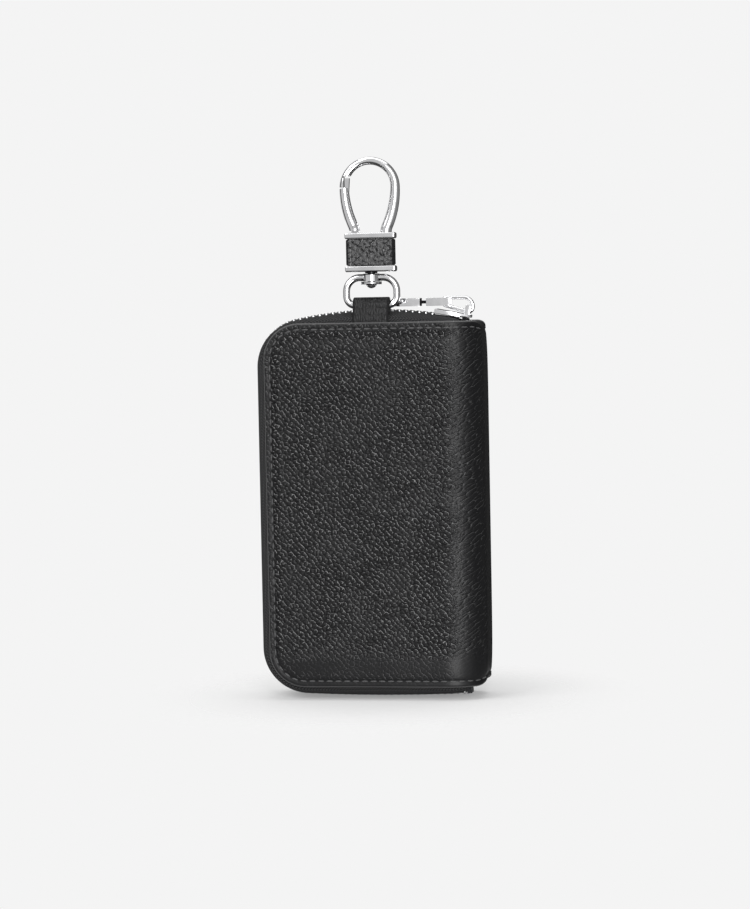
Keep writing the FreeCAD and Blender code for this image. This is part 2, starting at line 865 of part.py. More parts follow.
def make_slider():
    body = new_body("slider")
    half_length = size("slider_length") / 2
    half_slider = size("slider_width") / 2
    half_nose = size("slider_nose") / 2
    shoulder = half_length - size("slider_nose_length")
    wall = size("slider_wall")
    clear = size("zip_clearance")
    tooth_middle = case_top + size("zip_bulge") - size("tape") / 2
    under_top = tooth_middle + size("tooth_height") / 2 + clear
    over_foot = tooth_middle - size("tooth_height") / 2 - clear
    plan = [
        (-half_length, middle - half_slider),
        (shoulder, middle - half_slider),
        (half_length, middle - half_nose),
        (half_length, middle + half_nose),
        (shoulder, middle + half_slider),
        (-half_length, middle + half_slider),
    ]
    post_back = half_length - wall
    half_post = size("slider_post") / 2
    slab_along_z(body, plan, under_top, under_top + wall)
    slab_along_z(body, rectangle(
        post_back - size("slider_post_length"), post_back, middle - half_post, middle + half_post),
        over_foot, under_top)
    slab_along_z(body, plan, over_foot - wall, over_foot)
    flange_foot = case_top + size("zip_bulge") + clear
    for low, high in ((middle - half_slider, middle - half_slider + size("flange")),
                      (middle + half_slider - size("flange"), middle + half_slider)):
        slab_along_y(body, rectangle(-half_length, shoulder, flange_foot, under_top), low, high)
    half_gap_width = size("lug_gap") / 2
    half_lug = half_gap_width + size("lug_ear")
    lug_top = under_top + wall + lug_rise + size("lug_length") / 2
    for low, high in ((middle - half_lug, middle - half_gap_width),
                      (middle + half_gap_width, middle + half_lug)):
        slab_along_y(body, rectangle(lug_x - size("lug_length") / 2, lug_x + size("lug_length") / 2,
                                     under_top, lug_top), low, high)
    round_edges(body, size("lug_length") / 3, lambda edge: (
        runs_along(edge, ALONG_Y) and near(edge.CenterOfMass.z, lug_top.value)))
    pin = new_sketch(body, "XZ_Plane", -middle)
    draw_circle(pin, lug_x, under_top + wall + lug_rise, size("lug_pin") / 2)
    add_pad(body, pin, half_lug * 2, symmetric=True)
    body.Placement = slider_place
    return under_top + wall + lug_rise


lug_x = size("slider_length") / 2 - size("slider_wall") - size("lug_pin") / 2
lug_rise = size("zip_clearance") + size("link_bend") + size("link_wire") / 2
slider_place = Placement(
    Vector(), Rotation(ALONG_Y, slider_angle), Vector(0, middle.value, arch_centre_top))
lug_level = make_slider()
lug_point = slider_place.multVec(Vector(lug_x.value, middle.value, lug_level.value))

# Pull link: a pear-shaped wire loop from the slider's lug to the eye of the pull

def make_link():
    body = new_body("pull_link")
    bend = size("link_bend")
    length = size("link_length")
    rise = size("link_rise")
    run = (as_length(1) - rise * rise).root()
    crown = bend + length * rise / (rise + 1)
    path = new_sketch(body, "XZ_Plane")
    draw_outline(path, [
        (-length, -bend),
        (ZERO, -bend, bend, 1),
        (bend, ZERO, crown, 1),
        (bend - crown - crown * rise, crown * run),
        (-length - bend * rise, bend * run, bend, 1),
        (-length - bend, ZERO, bend, 1),
    ])
    profile = new_sketch(body, "YZ_Plane", -length)
    draw_circle(profile, ZERO, -bend, size("link_wire") / 2)
    add_pipe(body, profile, path)
    body.Placement = link_place


link_place = Placement(lug_point, Rotation(ALONG_Y, sheet.get("link_lean")))
make_link()
eye_point = link_place.multVec(Vector(-sheet.get("link_length"), 0, 0))

# Pull: a forked bar, with a neck turned into it, that hinges on the link

def make_pull():
    body = new_body("pull_bar")
    half_pull = size("pull_width") / 2
    half_thickness = size("pull_thickness") / 2
    half_gap_width = size("lug_gap") / 2
    slab_along_z(body, rectangle(-size("pull_length"), -size("pull_fork"), -half_pull, half_pull),
                 -half_thickness, half_thickness)
    for low, high in ((-half_pull, -half_gap_width), (half_gap_width, half_pull)):
        slab_along_z(body, rectangle(-size("pull_fork"), half_thickness, low, high),
                     -half_thickness, half_thickness)
    round_edges(body, size("pull_round"), lambda edge: (
        runs_along(edge, ALONG_Y) and near(edge.CenterOfMass.x, half_thickness.value)))
    round_edges(body, size("pull_round") * 2, lambda edge: (
        runs_along(edge, ALONG_Z) and near(edge.CenterOfMass.x, -size("pull_length").value)))
    neck_left = -size("pull_neck") - size("neck_width")
    for low, high in ((half_thickness - size("neck_depth"), half_thickness),
                      (-half_thickness, size("neck_depth") - half_thickness)):
        cut_outline(body, "XZ_Plane", rectangle(neck_left, -size("pull_neck"), low, high))
    pin = new_sketch(body, "XZ_Plane")
    draw_circle(pin, ZERO, ZERO, size("lug_pin") / 2)
    add_pad(body, pin, size("pull_width"), symmetric=True)
    body.Placement = Placement(eye_point, Rotation())


make_pull()

# Key rail: a plate on the back lining with two cheeks that hold the rod

rail_face = middle + hem_face
plate_face = rail_face - size("rail_plate")
rod_depth = plate_face - size("rod_stand_off")
rail_top = case_top - size("rail_drop")
rod_level = rail_top - size("rod_drop")
rod_radius = size("rod") / 2
rail_width = size("case_width") - size("rail_side_gap") * 2
hook_pitch = (rail_width - size("rail_cheek") * 2 - size("key_hook_spacing")) / KEY_HOOK_COUNT
hook_width = hook_pitch - size("key_hook_spacing")
rivet_level = rail_top - size("rail_rivet_drop")


def make_rail():
    body = new_body("key_rail")
    half_rail = rail_width / 2
    slab_along_y(body, rectangle(-half_rail, half_rail, rail_top - size("rail_height"), rail_top),
                 plate_face, rail_face)
    for low, high in ((-half_rail, size("rail_cheek") - half_rail),
                      (half_rail - size("rail_cheek"), half_rail)):
        slab_along_y(body, rectangle(low, high, rod_level - size("rod"), rod_level + size("rod")),
                     rod_depth - size("rod"), plate_face)
    cut_hole(body, "YZ_Plane", rod_depth, rod_level, rod_radius + size("running_clearance") / 5)
    for sign in (-1, 1):
        cut_hole(body, "XZ_Plane", rail_width / 3 * sign, rivet_level,
                 size("rail_rivet_shank") / 2 + size("running_clearance") / 5)


make_rail()


def make_rod():
    body = new_body("key_rod")
    sketch = new_sketch(body, "YZ_Plane")
    draw_circle(sketch, rod_depth, rod_level, rod_radius)
    add_pad(body, sketch, rail_width, symmetric=True)


make_rod()


def make_rail_rivets():
    """Two domed rivets, their shanks through the plate to the lining."""
    solids = []
    for sign in (-1, 1):
        seat = Vector(rail_width.value / 3 * sign, plate_face.value, rivet_level.value)
        shank = Part.makeCylinder(sheet.get("rail_rivet_shank") / 2, sheet.get("rail_plate"), seat, ALONG_Y)
        head_radius = sheet.get("rail_rivet") / 2
        dome = sheet.get("rail_rivet_dome")
        head = Part.makeCone(head_radius, head_radius / 2, dome, seat, -ALONG_Y)
        solids.append(shank.fuse(head).removeSplitter())
    return Part.makeCompound(solids)


add_shape("rail_rivets", make_rail_rivets())

# Key hooks: wire loops whose barrels turn freely on the rod

def make_key_hook(number):
    body = new_body("key_hook_%d" % number)
    x = hook_pitch * (number - (KEY_HOOK_COUNT + 1) / 2)
    half_hook = hook_width / 2
    barrel = size("key_hook_barrel") / 2
    bore = rod_radius + size("running_clearance")
    half_loop = half_hook - size("barrel_lip") - size("key_hook_wire") / 2
    wire_top = rod_level - (bore + barrel) / 2
    loop_foot = rod_level - size("key_hook_drop")
    path = new_sketch(body, "XZ_Plane", -rod_depth)
    draw_outline(path, [
        (x - half_loop, wire_top),
        (x - half_loop, loop_foot + half_loop, half_loop, 1),
        (x, loop_foot, half_loop, 1),
        (x + half_loop, loop_foot + half_loop),
        (x + half_loop, wire_top),
    ], closed=False)
    profile = new_sketch(body, "XY_Plane", wire_top)
    draw_circle(profile, x - half_loop, rod_depth, size("key_hook_wire") / 2)
    add_pipe(body, profile, path)
    ring = new_sketch(body, "YZ_Plane", x - half_hook)
    draw_circle(ring, rod_depth, rod_level, barrel)
    add_pad(body, ring, hook_width)
    cut_hole(body, "YZ_Plane", rod_depth, rod_level, bore)


for hook_number in range(1, KEY_HOOK_COUNT + 1):
    make_key_hook(hook_number)

# Check every object, then write each sub-part

doc.recompute()
for item in doc.Objects:
    if "Invalid" in item.State or "Error" in item.State:
        raise RuntimeError("%s failed: %s" % (item.Label, item.State))
sub_parts = [item for item in doc.Objects if item.TypeId in ("PartDesign::Body", "Part::Feature")]
for item in sub_parts:
    if item.Shape.isNull() or not item.Shape.isValid():
        raise RuntimeError("%s has no valid shape" % item.Label)
os.makedirs("parts", exist_ok=True)
for item in sub_parts:
    item.Shape.exportStep("parts/%s.step" % item.Label)
    print(item.Label, len(item.Shape.Solids), "solids", round(item.Shape.Volume, 2), "mm3")
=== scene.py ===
import json
import math
import bmesh
import bpy
from mathutils import Matrix, Vector


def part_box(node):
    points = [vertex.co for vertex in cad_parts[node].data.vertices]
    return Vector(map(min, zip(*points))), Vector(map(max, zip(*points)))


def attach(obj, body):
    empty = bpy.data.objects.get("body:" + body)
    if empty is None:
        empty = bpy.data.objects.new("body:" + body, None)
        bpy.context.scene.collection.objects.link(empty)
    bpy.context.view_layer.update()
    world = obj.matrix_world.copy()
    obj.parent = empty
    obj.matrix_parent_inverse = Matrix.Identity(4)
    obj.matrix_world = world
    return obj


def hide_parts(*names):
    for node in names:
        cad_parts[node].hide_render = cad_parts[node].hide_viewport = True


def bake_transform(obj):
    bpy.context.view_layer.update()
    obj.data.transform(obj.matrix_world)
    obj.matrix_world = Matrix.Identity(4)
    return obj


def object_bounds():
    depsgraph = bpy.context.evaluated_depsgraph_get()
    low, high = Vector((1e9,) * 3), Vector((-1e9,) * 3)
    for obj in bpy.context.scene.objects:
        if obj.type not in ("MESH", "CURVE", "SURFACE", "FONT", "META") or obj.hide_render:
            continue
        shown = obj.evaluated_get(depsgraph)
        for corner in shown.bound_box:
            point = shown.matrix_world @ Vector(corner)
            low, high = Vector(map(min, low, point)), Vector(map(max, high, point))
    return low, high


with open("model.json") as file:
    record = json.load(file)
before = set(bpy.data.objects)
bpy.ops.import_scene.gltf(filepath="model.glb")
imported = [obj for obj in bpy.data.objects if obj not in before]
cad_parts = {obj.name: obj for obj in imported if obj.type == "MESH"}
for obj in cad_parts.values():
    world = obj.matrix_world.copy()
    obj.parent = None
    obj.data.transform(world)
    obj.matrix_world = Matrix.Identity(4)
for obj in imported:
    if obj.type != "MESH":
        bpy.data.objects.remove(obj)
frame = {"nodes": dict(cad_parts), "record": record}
nodes = frame["nodes"]
cad_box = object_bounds()

# Cover leather
# One hide makes the front panel, the spine and the back panel. It is pebbled calf,
# turned over thin board at its edges, so it is smooth and rounded along the rim.
MM = 0.001
front_low, front_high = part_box("front_panel")
back_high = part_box("back_panel")[1]
case_left = front_low.x
case_right = front_high.x
case_foot = front_low.z
case_top = front_high.z
case_front = front_low.y
case_back = back_high.y
case_middle = (case_front + case_back) / 2
leather = 1.6 * MM
bend_across = 13 * MM
bend_deep = 9 * MM
case_corner = 12 * MM
spine_end_reach = 2.6 * MM
spine_end_drop = 1.5 * MM
spine_hem = 2.4 * MM
hem_height = 6 * MM
# A quarter of an ellipse is about this share of the sum of its half axes long.
quarter_ellipse = 0.79
flat_length = case_right - bend_across - case_left
bend_length = quarter_ellipse * (bend_across + bend_deep)
spine_flat = case_back - case_front - 2 * bend_deep
cover_length = 2 * flat_length + 2 * bend_length + spine_flat
stitch_inset = 2.1 * MM
panel_puff = 0.55 * MM
puff_run = 5 * MM
groove_depth = 0.22 * MM
groove_spread = 0.55 * MM
same_place = 1e-7


def cover_line(along):
    """Point and outward direction on the cover's outer line, seen from above."""
    mirrored = along > cover_length / 2
    if mirrored:
        along = cover_length - along
    if along < flat_length:
        point, outward = Vector((case_left + along, case_front, 0)), Vector((0, -1, 0))
    elif along < flat_length + bend_length:
        turn = (along - flat_length) / bend_length * math.pi / 2
        outward = Vector((bend_deep * math.sin(turn), -bend_across * math.cos(turn), 0)).normalized()
        point = Vector((case_right - bend_across * (1 - math.sin(turn)),
                        case_front + bend_deep * (1 - math.cos(turn)), 0))
    else:
        beyond = along - flat_length - bend_length
        point, outward = Vector((case_right, case_front + bend_deep + beyond, 0)), Vector((1, 0, 0))
    if mirrored:
        point.y = 2 * case_middle - point.y
        outward.y = -outward.y
    return point, outward


def graded_steps(length, step, edge_steps):
    """Places along a length: close together at both ends and evenly spaced between."""
    first = edge_steps[-1]
    count = max(2, round((length - 2 * first) / step))
    inside = [first + (length - 2 * first) * number / count for number in range(1, count)]
    return edge_steps + inside + [length - place for place in reversed(edge_steps)]


def round_corner(from_side, from_end):
    """Moves a point of the square corner so that the corner becomes a quarter circle."""
    if max(from_side, from_end) >= case_corner:
        return from_side, from_end
    inset = min(from_side, from_end)
    reach = case_corner - inset
    if reach < same_place:
        return from_side, from_end
    share = (max(from_side, from_end) - inset) / reach
    angle = math.pi / 4 * (1 - share)
    across, down = case_corner - reach * math.cos(angle), case_corner - reach * math.sin(angle)
    return (across, down) if from_side <= from_end else (down, across)


def rim_profile(inset):
    """How far the outer skin lies above the sheet's plain outer face at an inset from the rim."""
    edge_round = leather / 2
    sink = 0.0
    if inset < edge_round:
        sink = edge_round - math.sqrt(max(edge_round ** 2 - (edge_round - inset) ** 2, 0))
    groove = groove_depth * math.exp(-((inset - stitch_inset) / groove_spread) ** 2)
    swell = panel_puff * (1 - math.exp(-max(inset - stitch_inset, 0) / puff_run))
    return swell - sink - groove


def link_object(name, data):
    """An object of its data, linked to the scene at the origin."""
    made = bpy.data.objects.new(name, data)
    bpy.context.scene.collection.objects.link(made)
    return made


def new_piece(name, points, faces):
    """A smooth piece of merged points and outward faces."""
    mesh = bpy.data.meshes.new(name)
    mesh.from_pydata(points, [], faces)
    shell = bmesh.new()
    shell.from_mesh(mesh)
    bmesh.ops.remove_doubles(shell, verts=shell.verts, dist=same_place)
    bmesh.ops.recalc_face_normals(shell, faces=shell.faces)
    shell.to_mesh(mesh)
    shell.free()
    mesh.shade_smooth()
    return link_object(name, mesh)


def loft(name, rings, caps=(), loop_ends=False):
    """A skin through rings with as many points each and any caps, its ends joined if asked."""
    around = len(rings[0])
    points = [point for ring in rings for point in ring]
    faces = []
    for number in range(len(rings) if loop_ends else len(rings) - 1):
        following = (number + 1) % len(rings)
        for step in range(around):
            after = (step + 1) % around
            faces.append((number * around + step, number * around + after,
                          following * around + after, following * around + step))
    return new_piece(name, points, faces + list(caps))


def spine_drop(x):
    """How far the rim dips as it rounds off at the ends of the spine."""
    past = min(max(x - (case_right - spine_end_reach), 0) / spine_end_reach, 1)
    return spine_end_drop * (1 - math.sqrt(1 - past ** 2))


def cover_place(along, up):
    """The real place on the outer line, and the inset from the free rim, of a grid point."""
    height = case_top - case_foot
    side = min(along, cover_length - along)
    end = min(up, height - up)
    new_side, new_end = round_corner(side, end)
    inset = min(side, end)
    along = new_side if along < cover_length / 2 else cover_length - new_side
    point, outward = cover_line(along)
    drop = spine_drop(point.x)
    share = new_end / (height / 2)
    level = new_end + drop * (1 - share)
    point.z = case_foot + level if up < height / 2 else case_top - level
    return point, outward, inset


def make_cover():
    """The whole hide as one closed sheet: outer skin, inner skin, and its edges bridged."""
    edge_steps = [step * MM for step in (0, 0.12, 0.3, 0.55, 0.8, 1.2, 1.6, 2.1, 2.6, 3.1, 3.8, 4.8)]
    along_step = 1.0 * MM
    up_step = 1.2 * MM
    along_steps = graded_steps(cover_length, along_step, edge_steps)
    up_steps = graded_steps(case_top - case_foot, up_step, edge_steps)
    rows = len(up_steps)
    points, faces = [], []
    for skin in (0, 1):
        for along in along_steps:
            for up in up_steps:
                point, outward, inset = cover_place(along, up)
                lift = rim_profile(inset)
                plain = min(lift, 0) if inset < leather / 2 else 0.0
                turned_in = spine_hem * outward.x * max(1 - inset / hem_height, 0)
                points.append(point + outward * (lift if skin == 0 else -leather - turned_in - plain))
    sheet = len(along_steps) * rows
    for skin in (0, 1):
        for column in range(len(along_steps) - 1):
            for row in range(rows - 1):
                first = skin * sheet + column * rows + row
                faces.append((first, first + rows, first + rows + 1, first + 1))
    for row in (0, rows - 1):
        for column in range(len(along_steps) - 1):
            first = column * rows + row
            faces.append((first, first + rows, sheet + first + rows, sheet + first))
    return new_piece("cover_leather", points, faces)


def lay_out_cover(piece):
    """Gives the cover a map in metres along the hide, its inset from the rim and its bend."""
    mesh = piece.data
    layer = mesh.uv_layers.new(name="hide")
    rim = mesh.attributes.new("rim", "FLOAT", "POINT")
    bend = mesh.attributes.new("bend", "FLOAT", "POINT")
    places = []
    for vertex in mesh.vertices:
        x, y, z = vertex.co
        from_front = y - case_front
        from_back = case_back - y
        along = min(x, case_right - bend_across) - case_left
        around = 0.0
        if x > case_right - bend_across:
            nearest = min(from_front, from_back)
            if nearest < bend_deep:
                turn = math.atan2((x - case_right) / bend_across + 1, 1 - nearest / bend_deep)
                around = bend_length * turn / (math.pi / 2)
            else:
                around = bend_length + nearest - bend_deep
        along += around
        places.append((along if from_front < from_back else cover_length - along, z - case_foot))
        side = x - case_left
        end = min(z - case_foot, case_top - z) - spine_drop(x)
        inset = min(side, end)
        if max(side, end) < case_corner:
            inset = case_corner - math.hypot(case_corner - side, case_corner - end)
        rim.data[vertex.index].value = max(inset, 0.0)
        bend.data[vertex.index].value = min(around / bend_length, 1.0)
    for loop in mesh.loops:
        layer.data[loop.index].uv = places[loop.vertex_index]


cover = make_cover()
lay_out_cover(cover)


def new_group(name, numbers, outputs):
    """A shader node group that takes a place and numbers with their defaults, and gives numbers."""
    group = bpy.data.node_groups.new(name, "ShaderNodeTree")
    group.interface.new_socket("Place", in_out="INPUT", socket_type="NodeSocketVector")
    for socket_name, default in numbers.items():
        socket = group.interface.new_socket(socket_name, in_out="INPUT", socket_type="NodeSocketFloat")
        socket.default_value = default
    for socket_name in outputs:
        group.interface.new_socket(socket_name, in_out="OUTPUT", socket_type="NodeSocketFloat")
    return group


def set_sockets(tree, node, **sockets):
    """Sets a node's inputs, named or numbered as _0, to values or links them to other sockets."""
    for key, value in sockets.items():
        socket = node.inputs[int(key[1:])] if key[0] == "_" else node.inputs[key.replace("_", " ")]
        if isinstance(value, bpy.types.NodeSocket):
            tree.links.new(value, socket)
        else:
            socket.default_value = value


def add_node(tree, kind, settings=None, **sockets):
    """A node with its settings and inputs."""
    node = tree.nodes.new(kind)
    for key, value in (settings or {}).items():
        setattr(node, key, value)
    set_sockets(tree, node, **sockets)
    return node


def maths(tree, operation, first, second=0.0, third=0.0):
    node = add_node(tree, "ShaderNodeMath", {"operation": operation}, _0=first, _1=second, _2=third)
    return node.outputs[0]


def times(tree, first, second):
    return maths(tree, "MULTIPLY", first, second)


def vector_maths(tree, operation, **sockets):
    return add_node(tree, "ShaderNodeVectorMath", {"operation": operation}, **sockets).outputs[0]


def mix_values(tree, share, first, second):
    return add_node(tree, "ShaderNodeMix", _0=share, _2=first, _3=second).outputs[0]


def ramp_between(tree, value, low, high, low_out=0.0, high_out=1.0):
    """Goes smoothly from low_out to high_out as the value goes from low to high."""
    return add_node(tree, "ShaderNodeMapRange", {"interpolation_type": "SMOOTHSTEP"}, Value=value,
                    From_Min=low, From_Max=high, To_Min=low_out, To_Max=high_out).outputs[0]


def band_between(tree, value, rise_from, rise_to, fall_from, fall_to):
    """One inside a band of values and nothing outside it, with a soft rise and fall."""
    return times(tree, ramp_between(tree, value, rise_from, rise_to),
                 ramp_between(tree, value, fall_from, fall_to, 1.0, 0.0))


def blend_colours(tree, share, first, second):
    mix = add_node(tree, "ShaderNodeMix", {"data_type": "RGBA"}, _0=share, _6=first, _7=second)
    return mix.outputs[2]


def flat_noise(tree, place, scale, detail, output=0):
    noise = add_node(tree, "ShaderNodeTexNoise", {"noise_dimensions": "2D"}, Vector=place, Scale=scale,
                     Detail=detail)
    return noise.outputs[output]


def cell_edges(tree, place, scale, randomness):
    """Distance to the nearest edge of a pattern of cells."""
    pattern = {"feature": "DISTANCE_TO_EDGE", "voronoi_dimensions": "2D"}
    cells = add_node(tree, "ShaderNodeTexVoronoi", pattern, Vector=place, Scale=scale, Randomness=randomness)
    return cells.outputs["Distance"]


def make_grain_group():
    """Leather grain: domed pebbles parted by creases, their edges on the lamp side of each pebble given a
    painted highlight, with some rubbed wear, here and there.
    """
    group = new_group("leather_grain", {"Pebbles per metre": 560.0, "Crease width": 0.1},
                      ("Height", "Crease", "Rub", "Patch"))
    unevenness = 0.72
    drift_share = 0.36
    drift_scale = 0.5
    patch_scale = 0.12
    break_scale = 1.5
    fine_scale = 1.9
    pore_scale = 3.5
    dome_width = 3.5
    crease_height = -0.62
    dome_height = 0.3
    fine_height = 0.14
    pore_height = 0.06
    outer = group.nodes.new("NodeGroupInput").outputs
    size = outer["Pebbles per metre"]
    crease_width = outer["Crease width"]
    drift = flat_noise(group, outer["Place"], times(group, size, drift_scale), 1.0, "Color")
    drift = vector_maths(group, "SUBTRACT", _0=drift, _1=(0.5, 0.5, 0.5))
    drift = vector_maths(group, "SCALE", _0=drift, Scale=maths(group, "DIVIDE", drift_share, size))
    place = vector_maths(group, "ADD", _0=outer["Place"], _1=drift)
    from_edge = cell_edges(group, place, size, unevenness)
    centre = add_node(group, "ShaderNodeTexVoronoi", {"voronoi_dimensions": "2D"}, Vector=place, Scale=size,
                      Randomness=unevenness).outputs["Position"]
    outwards = vector_maths(group, "NORMALIZE", _0=vector_maths(group, "SUBTRACT", _0=place, _1=centre))
    # Which side of its pebble a point lies on, so that the painted highlight stays on the lamp side.
    upper = add_node(group, "ShaderNodeSeparateXYZ", Vector=outwards).outputs[1]
    pores = flat_noise(group, place, times(group, size, pore_scale), 2.0)
    patch = flat_noise(group, outer["Place"], times(group, size, patch_scale), 2.0)
    breaks = flat_noise(group, outer["Place"], times(group, size, break_scale), 0.0)
    fine = cell_edges(group, place, times(group, size, fine_scale), 1.0)
    fine = ramp_between(group, fine, 0.0, 0.14)
    depth = ramp_between(group, breaks, 0.36, 0.58, 0.25, 1.0)
    flank = ramp_between(group, from_edge, 0.0, crease_width)
    dome = ramp_between(group, from_edge, 0.0, times(group, crease_width, dome_width))
    crease = times(group, maths(group, "SUBTRACT", 1.0, flank), depth)
    height = maths(group, "MULTIPLY_ADD", crease, crease_height, times(group, dome, dome_height))
    height = maths(group, "MULTIPLY_ADD", fine, fine_height, height)
    height = maths(group, "MULTIPLY_ADD", pores, pore_height, height)
    # Painted highlight with some rubbed wear: a light lip along each crease edge, kept on the lamp side of
    # each pebble and broken here and there.
    highlight_lip = band_between(group, from_edge, 0.0, 0.03, 0.05, 0.11)
    highlight_lip = times(group, highlight_lip, ramp_between(group, upper, 0.1, 0.7))
    rub = times(group, highlight_lip, ramp_between(group, breaks, 0.36, 0.62))
    add_node(group, "NodeGroupOutput", Height=height, Crease=crease, Rub=rub, Patch=patch)
    return group


def new_material(name):
    """A material with its node tree and the shader that gives its surface."""
    material = bpy.data.materials.new(name)
    material.use_nodes = True
    tree = material.node_tree
    return material, tree, tree.nodes["Principled BSDF"]


def use_group(tree, group, **sockets):
    return add_node(tree, "ShaderNodeGroup", {"node_tree": group}, **sockets).outputs


def bump_normal(tree, height, distance, strength=1.0):
    return add_node(tree, "ShaderNodeBump", Strength=strength, Distance=distance, Height=height).outputs[0]


def own_place(tree):
    return add_node(tree, "ShaderNodeTexCoord").outputs["Object"]


def own_axis(tree, axis):
    return add_node(tree, "ShaderNodeSeparateXYZ", Vector=own_place(tree)).outputs[axis]


def paint_in_shade(material, share, colour):
    """Blends a colour of painted shade into what a finished material shows."""
    tree = material.node_tree
    surface = tree.nodes["Principled BSDF"]
    plain = surface.inputs["Base Color"].links[0].from_socket
    set_sockets(tree, surface, Base_Color=blend_colours(tree, share, plain, colour))


# The black dye, then colours for painted shade in creases, grooves and turned sides, for painted highlight
# with some rubbed wear on pebble edges, and for the painted highlight on the rounded rim.
leather_black = (0.0055, 0.0055, 0.006, 1)
painted_shade_black = (0.004, 0.004, 0.0045, 1)
rub_and_highlight_grey = (0.56, 0.56, 0.565, 1)
rim_highlight_grey = (0.1, 0.1, 0.101, 1)
grain_depth = 0.66 * MM
grain_turn = 0.8
wrinkle_turn = 0.5
wrinkle_stretch = (2.4, 0.8, 1)
grain_group = make_grain_group()


def make_cover_material():
    """Black pebbled calf: even pebbles on the panel, drawn into long wrinkles over the spine.
    It is smoother by the rim and at the foot, and puckered just inside the stitches. Shade is painted into
    its creases and stitch groove, and highlight onto its pebble edges and rim."""
    material, tree, surface = new_material("pebbled_calf")
    hide = add_node(tree, "ShaderNodeUVMap", {"uv_map": "hide"}).outputs[0]
    rim = add_node(tree, "ShaderNodeAttribute", {"attribute_name": "rim"}).outputs["Fac"]
    bend = add_node(tree, "ShaderNodeAttribute", {"attribute_name": "bend"}).outputs["Fac"]
    turned = add_node(tree, "ShaderNodeMapping", Vector=hide, Rotation=(0, 0, grain_turn)).outputs[0]
    drawn = add_node(tree, "ShaderNodeMapping", {"vector_type": "TEXTURE"}, Vector=hide,
                     Rotation=(0, 0, wrinkle_turn), Scale=wrinkle_stretch).outputs[0]
    pebbles = use_group(tree, grain_group, Place=turned, Pebbles_per_metre=720.0, Crease_width=0.15)
    wrinkles = use_group(tree, grain_group, Place=drawn, Pebbles_per_metre=620.0, Crease_width=0.2)
    over_spine = ramp_between(tree, bend, 0.0, 0.45)
    height = mix_values(tree, over_spine, pebbles["Height"], wrinkles["Height"])
    crease = mix_values(tree, over_spine, pebbles["Crease"], wrinkles["Crease"])
    # A fainter painted highlight over the spine's wrinkles.
    faint_rub_and_highlight = times(tree, wrinkles["Rub"], 0.35)
    rub = mix_values(tree, over_spine, pebbles["Rub"], faint_rub_and_highlight)
    patch = ramp_between(tree, pebbles["Patch"], 0.3, 0.65, 0.55, 1.0)
    inside = ramp_between(tree, rim, 2.4 * MM, 10 * MM, 0.4, 1.0)
    up_hide = add_node(tree, "ShaderNodeSeparateXYZ", Vector=hide).outputs[1]
    smooth_foot = ramp_between(tree, up_hide, 8 * MM, 14 * MM, 0.1, 1.0)
    strength = times(tree, times(tree, inside, smooth_foot), patch)
    from_stitches = maths(tree, "SUBTRACT", rim, stitch_inset)
    pucker = band_between(tree, from_stitches, 0.4 * MM, 1.0 * MM, 1.6 * MM, 4.0 * MM)
    pucker = times(tree, pucker, smooth_foot)
    strength = maths(tree, "MULTIPLY_ADD", pucker, 0.8, strength)
    strength = times(tree, strength, ramp_between(tree, bend, 0.0, 0.35, 1.0, 0.3))
    raised = times(tree, height, strength)
    groove = band_between(tree, from_stitches, -0.7 * MM, -0.2 * MM, 0.2 * MM, 0.7 * MM)
    rim_highlight = ramp_between(tree, rim, 0.15 * MM, 0.6 * MM, 0.9, 0.0)
    # Painted shade darkens the creases, and painted highlight with some rubbed wear lightens the pebble
    # edges.
    shade = blend_colours(tree, times(tree, crease, strength), leather_black, painted_shade_black)
    shade = blend_colours(tree, times(tree, rub, strength), shade, rub_and_highlight_grey)
    # Painted shade darkens the stitch groove, and a painted highlight lightens the rounded rim.
    shade = blend_colours(tree, groove, shade, painted_shade_black)
    shade = blend_colours(tree, rim_highlight, shade, rim_highlight_grey)
    rough = maths(tree, "MULTIPLY_ADD", pebbles["Patch"], 0.14, 0.3)
    set_sockets(tree, surface, Base_Color=shade, Roughness=rough, Specular_IOR_Level=0.23,
                Normal=bump_normal(tree, raised, grain_depth))
    return material


calf = make_cover_material()
cover.data.materials.append(calf)
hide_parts("front_panel", "back_panel")
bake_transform(cover)

# Seam stitches
# A lockstitch of bonded thread runs round each cover just inside its rim.
# Every stitch lies half sunk in the groove that the thread has drawn into the leather.
thread_radius = 0.24 * MM
stitch_length = 2.1 * MM
stitch_spacing = 2.9 * MM
thread_proud = 0.35 * thread_radius
seam_on_bend = 0.8


def new_geometry_tree(name, **inputs):
    """A geometry tree with inputs of named kinds, between one geometry in and one out."""
    tree = bpy.data.node_groups.new(name, "GeometryNodeTree")
    tree.interface.new_socket("Geometry", in_out="INPUT", socket_type="NodeSocketGeometry")
    for socket_name, kind in inputs.items():
        tree.interface.new_socket(socket_name, in_out="INPUT", socket_type="NodeSocket" + kind)
    tree.interface.new_socket("Geometry", in_out="OUTPUT", socket_type="NodeSocketGeometry")
    return tree


def end_tree(tree, geometry, material):
    """Closes a tree as the export needs it: real faces, each with its material."""
    real = add_node(tree, "GeometryNodeRealizeInstances", Geometry=geometry)
    painted = add_node(tree, "GeometryNodeSetMaterial", Geometry=real.outputs[0], Material=material)
    add_node(tree, "NodeGroupOutput", _0=painted.outputs[0])


def even_steps(tree, line, spacing):
    """Points at even steps along a line."""
    steps = add_node(tree, "GeometryNodeResampleCurve", {"mode": "LENGTH"}, Curve=line, Length=spacing)
    return steps.outputs[0]


